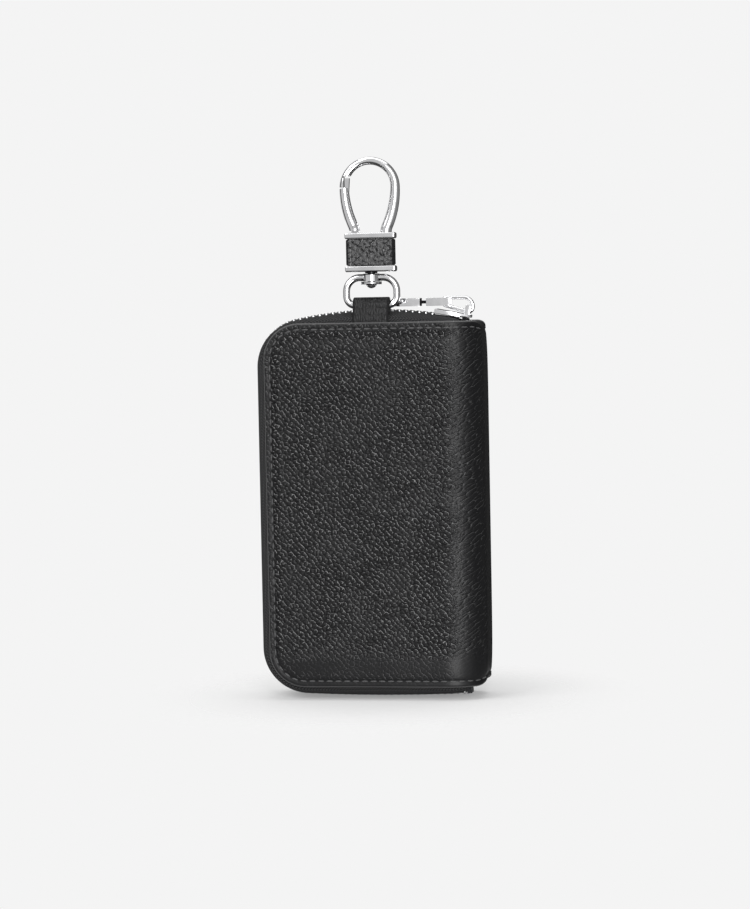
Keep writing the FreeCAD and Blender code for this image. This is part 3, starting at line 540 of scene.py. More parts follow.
def make_stitch_tree():
    """Sets a thread's short, round-ended stitches at even steps along a line."""
    tree = new_geometry_tree("stitch_row", Spacing="Float", Length="Float", Radius="Float",
                             Thread="Material")
    outer = tree.nodes.new("NodeGroupInput").outputs
    row = even_steps(tree, outer["Geometry"], outer["Spacing"])
    ball = add_node(tree, "GeometryNodeMeshUVSphere", Segments=8, Rings=6, Radius=1.0)
    shape = add_node(tree, "ShaderNodeCombineXYZ", X=outer["Radius"], Y=outer["Radius"],
                     Z=times(tree, outer["Length"], 0.5))
    along = add_node(tree, "FunctionNodeAlignRotationToVector", {"axis": "Z"},
                     Vector=tree.nodes.new("GeometryNodeInputTangent").outputs[0])
    stitches = add_node(tree, "GeometryNodeInstanceOnPoints", Points=row, Instance=ball.outputs[0],
                        Rotation=along.outputs[0], Scale=shape.outputs[0])
    end_tree(tree, stitches.outputs[0], outer["Thread"])
    return tree


def run_tree(name, carrier, tree, values):
    """Runs a tree on a curve or mesh and keeps its result as a plain mesh piece."""
    modifier = carrier.modifiers.new(name, "NODES")
    modifier.node_group = tree
    for socket in tree.interface.items_tree:
        if socket.in_out == "INPUT" and socket.name in values:
            modifier[socket.identifier] = values[socket.name]
    graph = bpy.context.evaluated_depsgraph_get()
    mesh = bpy.data.meshes.new_from_object(carrier.evaluated_get(graph), depsgraph=graph)
    bpy.data.objects.remove(carrier)
    mesh.shade_smooth()
    return link_object(name, mesh)


def new_line(name, points):
    """A curve of straight runs through the points."""
    curve = bpy.data.curves.new(name, "CURVE")
    curve.dimensions = "3D"
    spline = curve.splines.new("POLY")
    spline.points.add(len(points) - 1)
    for point, place in zip(spline.points, points):
        point.co = (*place, 1)
    return link_object(name, curve)


def make_thread_material(name, colour, roughness):
    """Twisted thread: fine slanting plies that catch the light one after another."""
    plies_per_metre = 900.0
    ply_depth = 0.05 * MM
    lit_ply = 1.7
    material, tree, surface = new_material(name)
    turned = add_node(tree, "ShaderNodeMapping", Vector=own_place(tree), Rotation=(0.5, 0.6, 0.8)).outputs[0]
    plies = add_node(tree, "ShaderNodeTexWave", Vector=turned, Scale=plies_per_metre, Distortion=1.5,
                     Detail=1.0).outputs["Fac"]
    lit = tuple(part * lit_ply for part in colour[:3]) + (1,)
    set_sockets(tree, surface, Base_Color=blend_colours(tree, plies, colour, lit), Roughness=roughness,
                Sheen_Weight=0.3, Normal=bump_normal(tree, plies, ply_depth, strength=0.5))
    return material


def stitch_route(to_back):
    """The stitch line of one cover, from the foot of the spine round to its top."""
    height = case_top - case_foot
    last = flat_length + bend_length * seam_on_bend
    run = last - stitch_inset
    rise = height - 2 * stitch_inset
    count = 60
    route = [(last - run * step / count, stitch_inset) for step in range(count)]
    route += [(stitch_inset, stitch_inset + rise * step / count) for step in range(count)]
    route += [(stitch_inset + run * step / count, height - stitch_inset) for step in range(count + 1)]
    points = []
    for along, up in route:
        point, outward, inset = cover_place(cover_length - along if to_back else along, up)
        points.append(point + outward * (rim_profile(inset) + thread_proud))
    return points


stitch_tree = make_stitch_tree()
waxed_thread = make_thread_material("waxed_thread", colour=(0.035, 0.035, 0.036, 1), roughness=0.5)
for side in ("front", "back"):
    seam = new_line(side + "_seam", stitch_route(side == "back"))
    stitches = run_tree(side + "_stitches", seam, stitch_tree, {
        "Spacing": stitch_spacing, "Length": stitch_length, "Radius": thread_radius, "Thread": waxed_thread})
    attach(stitches, side)

# Zip tapes
# Two woven polyester tapes, sewn under the cover's rim on one edge. They roll out past the
# rim to the teeth, arched over the top of the case, round its left corners and along its foot.
arch_radius = 130 * MM
foot_arch_radius = 600 * MM
zip_corner = 12 * MM
zip_end = case_right - 5 * MM
zip_bulge = 3.5 * MM
tape_thick = 0.8 * MM
tape_hem = 5 * MM
tape_roll = 5 * MM
foot_roll = 5.5 * MM
tape_set_in = 2.6 * MM
hem_depth = (case_back - case_front) / 2 - tape_set_in
chain_half = 2.3 * MM
corner_x = case_left + zip_corner
run_steps = 60
zip_corner_steps = 24
section_steps = 10
roll_fullness = 0.7
least_roll = 0.2


def zip_run(radius, centre, up, offset, end_x):
    """Points and outward directions on one arched run, from its end round the corner to the side."""
    rise = math.sqrt((radius - zip_corner) ** 2 - corner_x ** 2)
    join = math.atan2(-corner_x, rise)
    start = math.asin(end_x / radius)
    run = []
    for step in range(run_steps):
        angle = start - (start + join) * step / run_steps
        outward = Vector((math.sin(angle), 0, up * math.cos(angle)))
        run.append((Vector((0, case_middle, centre)) + outward * (radius + offset), outward))
    corner_centre = Vector((corner_x, case_middle, centre + up * rise))
    for step in range(zip_corner_steps + 1):
        angle = join + (math.pi / 2 - join) * step / zip_corner_steps
        outward = Vector((-math.sin(angle), 0, up * math.cos(angle)))
        run.append((corner_centre + outward * (zip_corner + offset), outward))
    return run


def zip_line(offset, end_x=zip_end, foot_end_x=zip_end):
    """The zip's line moved out by the offset: over the top, down the side and along the foot."""
    top = zip_run(arch_radius, case_top - arch_radius, 1, offset, end_x)
    foot = zip_run(foot_arch_radius, case_foot + foot_arch_radius, -1, offset, foot_end_x)
    first, last = top[-1][0], foot[-1][0]
    side = [(first.lerp(last, step / run_steps), Vector((-1, 0, 0))) for step in range(1, run_steps)]
    return top + side + foot[::-1]


def tape_section():
    """Half a roll from the hem to the chain: (distance from the middle, height) pairs."""
    outer = [(hem_depth, -tape_hem), (hem_depth, -tape_hem / 2), (hem_depth, 0)]
    for step in range(1, section_steps + 1):
        angle = math.pi / 2 * step / section_steps
        outer.append((chain_half + (hem_depth - chain_half) * math.cos(angle) ** roll_fullness,
                      zip_bulge * math.sin(angle) ** roll_fullness))
    inner = []
    for number, (distance, height) in enumerate(outer):
        before = outer[max(number - 1, 0)]
        after = outer[min(number + 1, len(outer) - 1)]
        slope = Vector((after[0] - before[0], after[1] - before[1])).normalized()
        inner.append((distance + slope.y * -tape_thick, height + slope.x * tape_thick))
    return outer, inner


def running_lengths(points):
    """How far along a chain of points each one lies."""
    lengths = [0.0]
    for before, after in zip(points, points[1:]):
        lengths.append(lengths[-1] + math.dist(before, after))
    return lengths


def make_tape(name, sign):
    """One tape, drawn in with the cover as it nears the spine and rolled down at both ends."""
    outer, inner = tape_section()
    section = outer + inner[::-1]
    line = zip_line(0)
    rings = []
    for point, outward in line:
        past = max(point.x - (case_right - bend_across), 0) / bend_across
        narrow = 1 - bend_deep * (1 - math.sqrt(1 - past ** 2)) / hem_depth
        left = (zip_end - point.x) / (tape_roll if outward.z > 0 else foot_roll)
        roll = 1.0 if left > 1 else math.sqrt(max(1 - (1 - left) ** 2, least_roll ** 2))
        rings.append([point + Vector((0, distance * narrow * sign, 0)) + outward * min(height, height * roll)
                      for distance, height in section])
    around = len(section)
    caps = []
    for first in (0, (len(line) - 1) * around):
        for number in range(len(outer) - 1):
            across = first + around - 1 - number
            caps.append((first + number, first + number + 1, across - 1, across))
    piece = loft(name, rings, caps)
    layer = piece.data.uv_layers.new(name="weave")
    lengths = running_lengths([point for point, _ in line])
    widths = running_lengths(outer)
    widths += widths[::-1]
    for loop in piece.data.loops:
        ring, number = divmod(loop.vertex_index, around)
        layer.data[loop.index].uv = (lengths[ring], widths[number])
    return piece


def make_weave_group():
    """Twill cloth: slanted ribs that turn into a herringbone, with the threads across them."""
    group = new_group("twill_weave", {"Ribs per metre": 1500.0}, ("Height", "Fuzz"))
    herringbone = 2.2 * MM
    threads_in_rib = 9.0
    fuzz_per_metre = 2600.0
    outer = group.nodes.new("NodeGroupInput").outputs
    ribs = outer["Ribs per metre"]
    parts = add_node(group, "ShaderNodeSeparateXYZ", Vector=outer["Place"]).outputs
    zigzag = maths(group, "PINGPONG", parts[1], herringbone)
    slant = times(group, maths(group, "ADD", parts[0], zigzag), ribs)
    rib = maths(group, "SINE", times(group, slant, 2 * math.pi))
    threads = times(group, times(group, parts[1], ribs), threads_in_rib)
    across = maths(group, "SINE", threads)
    fuzz = add_node(group, "ShaderNodeTexNoise", Vector=outer["Place"], Scale=fuzz_per_metre,
                    Detail=3.0).outputs[0]
    height = maths(group, "MULTIPLY_ADD", across, 0.25, maths(group, "MULTIPLY_ADD", rib, 0.5, 0.5))
    add_node(group, "NodeGroupOutput", Height=height, Fuzz=fuzz)
    return group


weave_group = make_weave_group()
tape_hollow_shade = (0.0025, 0.0025, 0.003, 1)
tape_rib_highlight = (0.07, 0.07, 0.071, 1)
rib_depth = 0.2 * MM


def make_tape_material():
    """Dull black twill, laid along the tape by the tape's own map, with painted shade in its hollows and
    painted highlight on its ribs.
    """
    material, tree, surface = new_material("woven_tape")
    place = add_node(tree, "ShaderNodeUVMap", {"uv_map": "weave"}).outputs[0]
    weave = use_group(tree, weave_group, Place=place, Ribs_per_metre=1000.0)
    # Painted shade in the weave's hollows and painted highlight on its ribs.
    set_sockets(tree, surface, Base_Color=blend_colours(tree, weave["Height"], tape_hollow_shade, tape_rib_highlight),
                Roughness=maths(tree, "MULTIPLY_ADD", weave["Fuzz"], 0.25, 0.62), Specular_IOR_Level=0.05,
                Normal=bump_normal(tree, weave["Height"], rib_depth))
    return material


woven_tape = make_tape_material()
for side, sign in (("front", -1), ("back", 1)):
    tape = make_tape(side + "_woven_tape", sign)
    tape.data.materials.append(woven_tape)
    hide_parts(side + "_tape")
    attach(tape, side)

# Zip teeth and stops
# Nickel teeth are clamped on a cord at each tape's edge, half a pitch apart from row to row.
# Metal stops close both ends, the upper ones inside the slider when the case is shut.
tooth_pitch = 2.2 * MM
tooth_half = 0.36 * MM
tooth_height = 2.0 * MM
tooth_reach = 0.9 * MM
tooth_shoulder = 0.3 * tooth_reach
tooth_tip = 0.5 * tooth_half
root_grip = 0.5 * MM
tooth_edge = 0.18 * MM
tooth_level = zip_bulge - tape_thick / 2
slider_length = 12 * MM
slider_rear = zip_end - slider_length
foot_stop = zip_end - 3.2 * MM


def make_metal_group():
    """Plated metal: faint clouding of the plate and fine marks rubbed into it."""
    group = new_group("plated_metal", {"Rubs per metre": 900.0}, ("Cloud", "Rub"))
    outer = group.nodes.new("NodeGroupInput").outputs
    clouds_per_metre = 240.0
    cloud = add_node(group, "ShaderNodeTexNoise", Vector=outer["Place"], Scale=clouds_per_metre,
                     Detail=3.0).outputs[0]
    drawn = add_node(group, "ShaderNodeMapping", Vector=outer["Place"], Scale=(1, 1, 0.12)).outputs[0]
    rub = add_node(group, "ShaderNodeTexNoise", Vector=drawn, Scale=outer["Rubs per metre"],
                   Detail=4.0).outputs[0]
    add_node(group, "NodeGroupOutput", Cloud=cloud, Rub=rub)
    return group


metal_group = make_metal_group()
rub_depth = 0.006 * MM


def make_metal_material(name, bright, dull, smooth, rubbed):
    """Metal that clouds from bright to dull, its roughness between smooth and rubbed."""
    material, tree, surface = new_material(name)
    marks = use_group(tree, metal_group, Place=own_place(tree), Rubs_per_metre=900.0)
    cloud = ramp_between(tree, marks["Cloud"], 0.35, 0.7)
    set_sockets(tree, surface, Base_Color=blend_colours(tree, cloud, bright, dull), Metallic=1.0,
                Roughness=maths(tree, "MULTIPLY_ADD", marks["Rub"], rubbed - smooth, smooth),
                Normal=bump_normal(tree, marks["Rub"], rub_depth, strength=0.05))
    return material


def make_tooth_material():
    """Zip nickel, bright on the clamped roots, with painted shade darkening the locked heads between the
    rows.
    """
    locked_head_shade = (0.1, 0.1, 0.105, 1)
    head_end = 1.3 * MM
    root_start = 2.0 * MM
    material = make_metal_material("tooth_nickel", bright=(0.8, 0.8, 0.81, 1), dull=(0.66, 0.66, 0.68, 1),
                                   smooth=0.16, rubbed=0.3)
    tree = material.node_tree
    from_middle = maths(tree, "ABSOLUTE", maths(tree, "SUBTRACT", own_axis(tree, 1), case_middle))
    # Painted shade on the locked heads, where the two rows hide each other.
    paint_in_shade(material, ramp_between(tree, from_middle, head_end, root_start, 1.0, 0.0), locked_head_shade)
    return material


def make_tooth():
    """One tooth, its root on the tape and its head past the middle: X along the zip, Y across."""
    root = -chain_half - root_grip
    plan = [(-tooth_half, root), (tooth_half, root), (tooth_half, tooth_shoulder),
            (tooth_tip, tooth_reach), (-tooth_tip, tooth_reach), (-tooth_half, tooth_shoulder)]
    half = tooth_height / 2
    points = [Vector((x, y, -half)) for x, y in plan] + [Vector((x, y, half)) for x, y in plan]
    count = len(plan)
    faces = [tuple(range(count)), tuple(range(count, 2 * count))]
    faces += [(side, (side + 1) % count, count + (side + 1) % count, count + side) for side in range(count)]
    tooth = new_piece("tooth", points, faces)
    bevel = tooth.modifiers.new("edge", "BEVEL")
    bevel.width = tooth_edge
    bevel.segments = 1
    bevel.limit_method = "NONE"
    return tooth


def make_row_tree():
    """Sets a block at even steps on a line, its X along the line and its Y to the back."""
    tree = new_geometry_tree("zip_row", Pitch="Float", Block="Object", Turn="Float", Finish="Material")
    outer = tree.nodes.new("NodeGroupInput").outputs
    row = even_steps(tree, outer["Geometry"], outer["Pitch"])
    block = add_node(tree, "GeometryNodeObjectInfo", Object=outer["Block"]).outputs["Geometry"]
    along = add_node(tree, "FunctionNodeAlignRotationToVector", {"axis": "X"},
                     Vector=tree.nodes.new("GeometryNodeInputTangent").outputs[0])
    across = add_node(tree, "ShaderNodeCombineXYZ", Y=outer["Turn"])
    level = add_node(tree, "FunctionNodeAlignRotationToVector", {"axis": "Y", "pivot_axis": "X"},
                     Rotation=along.outputs[0], Vector=across.outputs[0])
    teeth = add_node(tree, "GeometryNodeInstanceOnPoints", Points=row, Instance=block,
                     Rotation=level.outputs[0])
    end_tree(tree, teeth.outputs[0], outer["Finish"])
    return tree


row_tree = make_row_tree()
tooth_nickel = make_tooth_material()
tooth = make_tooth()
for side, turn, shift in (("front", 1.0, 0.0), ("back", -1.0, 0.5)):
    line = [point for point, _ in zip_line(tooth_level, slider_rear - shift * tooth_pitch, foot_stop)]
    row = run_tree(side + "_zip_teeth", new_line(side + "_chain", line), row_tree, {
        "Pitch": tooth_pitch, "Block": tooth, "Turn": turn, "Finish": tooth_nickel})
    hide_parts(side + "_teeth")
    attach(row, side)
bpy.data.objects.remove(tooth)


def finish_node(name, material):
    """Gives a solid of the frame its finish."""
    mesh = nodes[name].data
    mesh.materials.clear()
    mesh.materials.append(material)


black_zinc = make_metal_material("black_zinc", bright=(0.03, 0.03, 0.032, 1), dull=(0.015, 0.015, 0.016, 1),
                                 smooth=0.3, rubbed=0.45)
for side in ("front", "back"):
    finish_node(side + "_stops", black_zinc)

# Zip cords
# A twisted cord is sewn along the edge of each tape, and the teeth are clamped on it.
# It fills most of the gap between one tooth's root and the next.
cord_radius = 0.82 * MM
cord_set = 1.95 * MM
cord_sides = 10


def make_cord_tree():
    """A round cord along a line, closed at both ends."""
    tree = new_geometry_tree("cord_run", Radius="Float", Finish="Material")
    outer = tree.nodes.new("NodeGroupInput").outputs
    round_section = add_node(tree, "GeometryNodeCurvePrimitiveCircle", Resolution=cord_sides,
                             Radius=outer["Radius"])
    cord = add_node(tree, "GeometryNodeCurveToMesh", Curve=outer["Geometry"],
                    Profile_Curve=round_section.outputs[0], Fill_Caps=True)
    end_tree(tree, cord.outputs[0], outer["Finish"])
    return tree


cord_tree = make_cord_tree()
cord_thread = make_thread_material("cord_thread", colour=(0.006, 0.006, 0.0065, 1), roughness=0.7)
for side, sign in (("front", -1), ("back", 1)):
    set_over = Vector((0, sign * cord_set, 0))
    run = [point + set_over for point, _ in zip_line(tooth_level, slider_rear, foot_stop)]
    cord = run_tree(side + "_zip_cord", new_line(side + "_cord_run", run), cord_tree, {
        "Radius": cord_radius, "Finish": cord_thread})
    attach(cord, side)

# Slider, link and pull
# The die-cast slider has two ears with a pin for a wire link, and the link carries a forked pull.
# All three are plated to match the hook, and the castings are tumbled, so their edges are soft.
nickel_bright = (0.83, 0.83, 0.84, 1)
nickel_dull = (0.74, 0.74, 0.75, 1)
nickel_smooth = 0.06
nickel_rubbed = 0.2
gap_shade_black = (0.02, 0.02, 0.021, 1)
gap_fade = 0.1 * MM
pull_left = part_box("pull_bar")[0].x
pull_gap = (pull_left + 8.7 * MM, pull_left + 10.8 * MM)


def tumbled_copy(name, body, material, edge_round):
    """A copy of a solid of the frame, with its sharp edges rounded as tumbling leaves them."""
    same_corner = 1e-6
    flat_angle = math.radians(0.5)
    sharp_angle = math.radians(50)
    crisp_angle = math.radians(32)
    shell = bmesh.new()
    shell.from_mesh(nodes[name].data)
    bmesh.ops.remove_doubles(shell, verts=shell.verts, dist=same_corner)
    bmesh.ops.dissolve_limit(shell, angle_limit=flat_angle, verts=shell.verts, edges=shell.edges)
    sharp = [edge for edge in shell.edges if edge.is_manifold and edge.calc_face_angle(0) > sharp_angle]
    bmesh.ops.bevel(shell, geom=sharp, offset=edge_round, segments=3, profile=0.5, affect="EDGES",
                    clamp_overlap=True)
    bmesh.ops.triangulate(shell, faces=shell.faces)
    mesh = bpy.data.meshes.new(name + "_tumbled")
    shell.to_mesh(mesh)
    shell.free()
    mesh.shade_smooth()
    mesh.set_sharp_from_angle(angle=crisp_angle)
    mesh.materials.append(material)
    piece = link_object(name + "_tumbled", mesh)
    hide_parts(name)
    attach(piece, body)


def make_gap_shaded_metal(name, axis, gaps):
    """Polished nickel, with painted shade blackening it between each pair of places along an axis."""
    material = make_metal_material(name, nickel_bright, nickel_dull, nickel_smooth, nickel_rubbed)
    tree = material.node_tree
    level = own_axis(tree, axis)
    black = 0.0
    for low, high in gaps:
        gap = band_between(tree, level, low - gap_fade, low, high, high + gap_fade)
        black = maths(tree, "MAXIMUM", black, gap)
    paint_in_shade(material, black, gap_shade_black)
    return material


nickel = make_metal_material("polished_nickel", nickel_bright, nickel_dull, nickel_smooth, nickel_rubbed)
# Painted shade blackens the notch in the pull bar.
pull_nickel = make_gap_shaded_metal("pull_nickel", 0, [pull_gap])
finish_node("pull_link", nickel)
tumbled_copy("slider", "slider", nickel, edge_round=0.2 * MM)
tumbled_copy("pull_bar", "pull", pull_nickel, edge_round=0.5 * MM)

# Sprung hook
# A bow of round bar tapers from its feet to its crown. Its left leg is a gate that a small wire
# spring shuts against the lapped nose. Two cross bars below hold the leather sleeve.
steel = make_metal_material("spring_steel", bright=(0.5, 0.5, 0.52, 1), dull=(0.4, 0.4, 0.42, 1),
                            smooth=0.25, rubbed=0.4)
for name in ("hook_bow", "gate", "gate_pin"):
    finish_node(name, nickel)
tumbled_copy("hook_frame", "hook", nickel, edge_round=0.3 * MM)
finish_node("gate_spring", steel)

# Leather sleeve
# A strip of the same calf is wrapped round the flat core between the bars.
# Its ends meet at the left, where a short row of stitches closes it.
sleeve_low, sleeve_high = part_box("leather_sleeve")
sleeve_height = sleeve_high.z - sleeve_low.z
sleeve_edge = 0.5 * MM
sleeve_corner = 0.6 * MM
core_half_width = 5.05 * MM
core_half_depth = 0.65 * MM
core_corner = 0.1 * MM
# The sleeve's calf is painted lighter than the cover's: a painted highlight on its pebble faces.
sleeve_highlight_grey = (0.085, 0.085, 0.086, 1)
plain_draw = (1, 1, 1)


def make_small_calf(name, pebbles, bump_depth, draw=plain_draw, rub=0.5, base_colour=leather_black, crease=0.14):
    """The same calf on a small piece, its grain laid by the piece's own place and drawn out or not."""
    drawn_turn = 0.06
    turn = grain_turn if draw == plain_draw else drawn_turn
    material, tree, surface = new_material(name)
    upright = add_node(tree, "ShaderNodeMapping", Vector=own_place(tree),
                       Rotation=(-math.pi / 2, 0, 0)).outputs[0]
    turned = add_node(tree, "ShaderNodeMapping", {"vector_type": "TEXTURE"}, Vector=upright,
                      Rotation=(0, 0, turn), Scale=draw).outputs[0]
    grain = use_group(tree, grain_group, Place=turned, Pebbles_per_metre=pebbles, Crease_width=crease)
    # Painted shade darkens the creases, and painted highlight with some rubbed wear lightens the pebble
    # edges.
    shade = blend_colours(tree, grain["Crease"], base_colour, painted_shade_black)
    shade = blend_colours(tree, times(tree, grain["Rub"], rub), shade, rub_and_highlight_grey)
    set_sockets(tree, surface, Base_Color=shade, Specular_IOR_Level=0.32,
                Roughness=maths(tree, "MULTIPLY_ADD", grain["Patch"], 0.16, 0.34),
                Normal=bump_normal(tree, grain["Height"], bump_depth))
    return material


def paint_side_shade(material, half_width, border):
    """Paints shade on a strip's turned sides, and makes them rougher."""
    tree = material.node_tree
    surface = tree.nodes["Principled BSDF"]
    from_middle = maths(tree, "ABSOLUTE", own_axis(tree, 0))
    side = ramp_between(tree, from_middle, half_width - border, half_width - border * 0.7)
    gloss = surface.inputs["Roughness"].links[0].from_socket
    # Painted shade on the sides where the strip turns away.
    paint_in_shade(material, side, painted_shade_black)
    set_sockets(tree, surface, Roughness=maths(tree, "MULTIPLY_ADD", side, 0.45, gloss))


def rounded_plan(low, high, radius, inset, corner_steps=6):
    """A rectangle with round corners, seen from above, drawn in by the inset."""
    least_radius = 0.05 * MM
    radius = max(radius - inset, least_radius)
    left, right = low.x + inset + radius, high.x - inset - radius
    front, back = low.y + inset + radius, high.y - inset - radius
    plan = []
    for x, y, start in ((right, back, 0), (left, back, 1), (left, front, 2), (right, front, 3)):
        for step in range(corner_steps + 1):
            angle = math.pi / 2 * (start + step / corner_steps)
            plan.append((x + radius * math.cos(angle), y + radius * math.sin(angle)))
    return plan


def edge_inset(near, edge):
    """How far a rounded edge draws a face in, at a distance from the piece's end."""
    return edge - math.sqrt(max(edge ** 2 - max(edge - near, 0) ** 2, 0))


def make_sleeve():
    """The wrap from foot to top with its edges rounded, and the hole for the core."""
    core_low = Vector((-core_half_width, -core_half_depth, 0))
    core_high = Vector((core_half_width, core_half_depth, 0))
    count = 24
    rings = []
    for step in range(count + 1):
        level = sleeve_height * step / count
        inset = edge_inset(min(level, sleeve_height - level), sleeve_edge)
        rings.append([Vector((x, y, sleeve_low.z + level))
                      for x, y in rounded_plan(sleeve_low, sleeve_high, sleeve_corner, inset)])
    for level in (sleeve_high.z, sleeve_low.z):
        rings.append([Vector((x, y, level)) for x, y in rounded_plan(core_low, core_high, core_corner, 0)])
    return loft("sleeve_wrap", rings, loop_ends=True)


sleeve = make_sleeve()
sleeve_calf = make_small_calf("sleeve_calf", pebbles=600.0, bump_depth=0.8 * MM, rub=1.0, base_colour=sleeve_highlight_grey,
                              crease=0.3)
paint_side_shade(sleeve_calf, half_width=sleeve_high.x, border=0.9 * MM)
sleeve.data.materials.append(sleeve_calf)
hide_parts("leather_sleeve")
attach(sleeve, "hook")
seam_x = sleeve_low.x + 1.5 * MM
seam_y = sleeve_low.y - 0.05 * MM
seam = [Vector((seam_x, seam_y, sleeve_low.z + sleeve_height * share)) for share in (0.05, 0.5, 0.95)]
pale_thread = make_thread_material("pale_thread", colour=(0.12, 0.12, 0.121, 1), roughness=0.5)
sleeve_stitches = run_tree("sleeve_stitches", new_line("sleeve_seam", seam), stitch_tree, {
    "Spacing": 1.5 * MM, "Length": 1.1 * MM, "Radius": 0.16 * MM, "Thread": pale_thread})
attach(sleeve_stitches, "hook")

# Swivel ring and rivet
# A closed loop of round bar has a boss that turns on a collared rivet under the lower bar.
# Painted shade blackens the narrow gaps above and below the boss.
ring_low, ring_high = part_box("swivel_ring")
rivet_low, rivet_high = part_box("swivel_rivet")
washer_foot = rivet_low.z + 1.3 * MM
washer_top = washer_foot + 0.9 * MM
ring_gaps = [(ring_high.z - 0.3 * MM, ring_high.z + MM)]
rivet_gaps = [(rivet_high.z - 0.9 * MM, rivet_high.z + MM),
              (washer_top - 0.2 * MM, washer_top + 0.6 * MM),
              (washer_foot - 0.1 * MM, washer_foot + 0.2 * MM)]
finish_node("swivel_ring", make_gap_shaded_metal("ring_nickel", 2, ring_gaps))
finish_node("swivel_rivet", make_gap_shaded_metal("rivet_nickel", 2, rivet_gaps))

# Hanger tab
# A strap of calf folded over the ring. Both ends are skived and sewn in the front cover's seam,
# so the fold stands just clear of the zip.
tab_low, tab_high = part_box("hanger_tab")
ring_wire = 2.3 * MM
ring_level = ring_low.z + ring_wire / 2
ring_clearance = 0.22 * MM
strap_thick = 1.3 * MM
tail_thick = 0.9 * MM
tab_hole = ring_wire / 2 + ring_clearance
tab_loop = tab_hole + strap_thick
tab_neck = case_top + 2.2 * MM
tail_front = tab_low.y
tail_back = tail_front + tail_thick
tab_edge = 0.42 * MM
tab_draw = (0.8, 1.9, 1)


def tab_outline():
    """The fold from the side: up the front tail, over the ring and back to the tail."""
    outline = [(tail_front, level) for level in (tab_low.z, case_top - 2 * MM, case_top, tab_neck)]
    start = math.pi * 1.06
    stop = -math.pi / 2
    count = 24
    for step in range(count + 1):
        angle = start + (stop - start) * step / count
        outline.append((tab_loop * math.cos(angle), ring_level + tab_loop * math.sin(angle)))
    outline += [(tail_back * 0.6, tab_neck + 0.25 * MM), (tail_back, tab_neck - 0.3 * MM),
                (tail_back, case_top), (tail_back, tab_low.z)]
    return outline


def drawn_in(outline, inset):
    """The outline moved inwards by the inset."""
    moved = []
    for number, (y, z) in enumerate(outline):
        before = Vector(outline[number - 1])
        after = Vector(outline[(number + 1) % len(outline)])
        slope = (after - before).normalized()
        moved.append((y + slope.y * inset, z - slope.x * inset))
    return moved


def make_tab():
    """The folded strap with its side edges rounded, and the bore where the ring runs."""
    outline = tab_outline()
    count = 24
    turns = [2 * math.pi * step / count for step in range(count)]
    hole = [(tab_hole * math.cos(turn), ring_level + tab_hole * math.sin(turn)) for turn in turns]
    border = [tab_low.x + step for step in (0, 0.08 * MM, 0.22 * MM, tab_edge)]
    spans = 8
    inner_width = tab_high.x - tab_low.x - 2 * tab_edge
    middle = [tab_low.x + tab_edge + inner_width * step / spans for step in range(1, spans)]
    across = border + middle + [-place for place in reversed(border)]
    rings, inner = [], []
    for x in across:
        inset = edge_inset(min(x - tab_low.x, tab_high.x - x), tab_edge)
        rings.append([Vector((x, y, z)) for y, z in drawn_in(outline, inset)])
    for x in (tab_low.x, tab_high.x):
        inner.append([Vector((x, y, z)) for y, z in hole])
    skin = loft("hanger_strap", rings)
    bore = loft("strap_bore", inner)
    shell = bmesh.new()
    shell.from_mesh(skin.data)
    shell.from_mesh(bore.data)
    for end in (tab_low.x, tab_high.x):
        rim = [edge for edge in shell.edges
               if all(abs(vertex.co.x - end) < same_place for vertex in edge.verts)]
        bmesh.ops.triangle_fill(shell, edges=rim, use_beauty=True)
    bmesh.ops.recalc_face_normals(shell, faces=shell.faces)
    shell.to_mesh(skin.data)
    shell.free()
    bpy.data.objects.remove(bore)
    skin.data.shade_smooth()
    return skin


tab = make_tab()
tab_calf = make_small_calf("tab_calf", pebbles=900.0, bump_depth=0.22 * MM, draw=tab_draw, rub=0.15)
paint_side_shade(tab_calf, half_width=tab_high.x, border=0.8 * MM)
tab.data.materials.append(tab_calf)
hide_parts("hanger_tab")
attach(tab, "front")

# Inside of the case
# Pressed board stiffens each cover behind a smooth lining. The back one carries a plated rail with
# swinging key hooks, and the front one a slip pocket for a card.
board_brown = (0.2, 0.15, 0.11, 1)
board_fleck = (0.3, 0.24, 0.18, 1)
lining_dye = (0.025, 0.025, 0.026, 1)


def make_board_material():
    """Pressed fibre board: brown, flecked and dull."""
    material, tree, surface = new_material("fibre_board")
    flecks = add_node(tree, "ShaderNodeTexNoise", Vector=own_place(tree), Scale=900.0, Detail=4.0).outputs[0]
    shade = blend_colours(tree, ramp_between(tree, flecks, 0.35, 0.65), board_brown, board_fleck)
    set_sockets(tree, surface, Base_Color=shade, Roughness=0.85,
                Normal=bump_normal(tree, flecks, 0.06 * MM, strength=0.3))
    return material


lining_calf = make_small_calf("lining_calf", pebbles=1600.0, bump_depth=0.08 * MM, rub=0.1, base_colour=lining_dye)
fibre_board = make_board_material()
for side in ("front", "back"):
    finish_node(side + "_board", fibre_board)
    finish_node(side + "_lining", lining_calf)
finish_node("card_pocket", lining_calf)
for name in frame["record"]["behaviour"]["bodies"]:
    if name.startswith("key_hook"):
        finish_node(name, nickel)
for name in ("key_rail", "key_rod", "rail_rivets"):
    finish_node(name, nickel)

# Stage
# A pale disc under the foot of the case takes its soft shadow and fades into the pale backdrop.
# The studio is white, with a dark flag at each side that draws the edges of the metal.
backdrop = 0.905
floor_level = cad_box[0].z - 0.3 * MM
floor_radius = 95 * MM


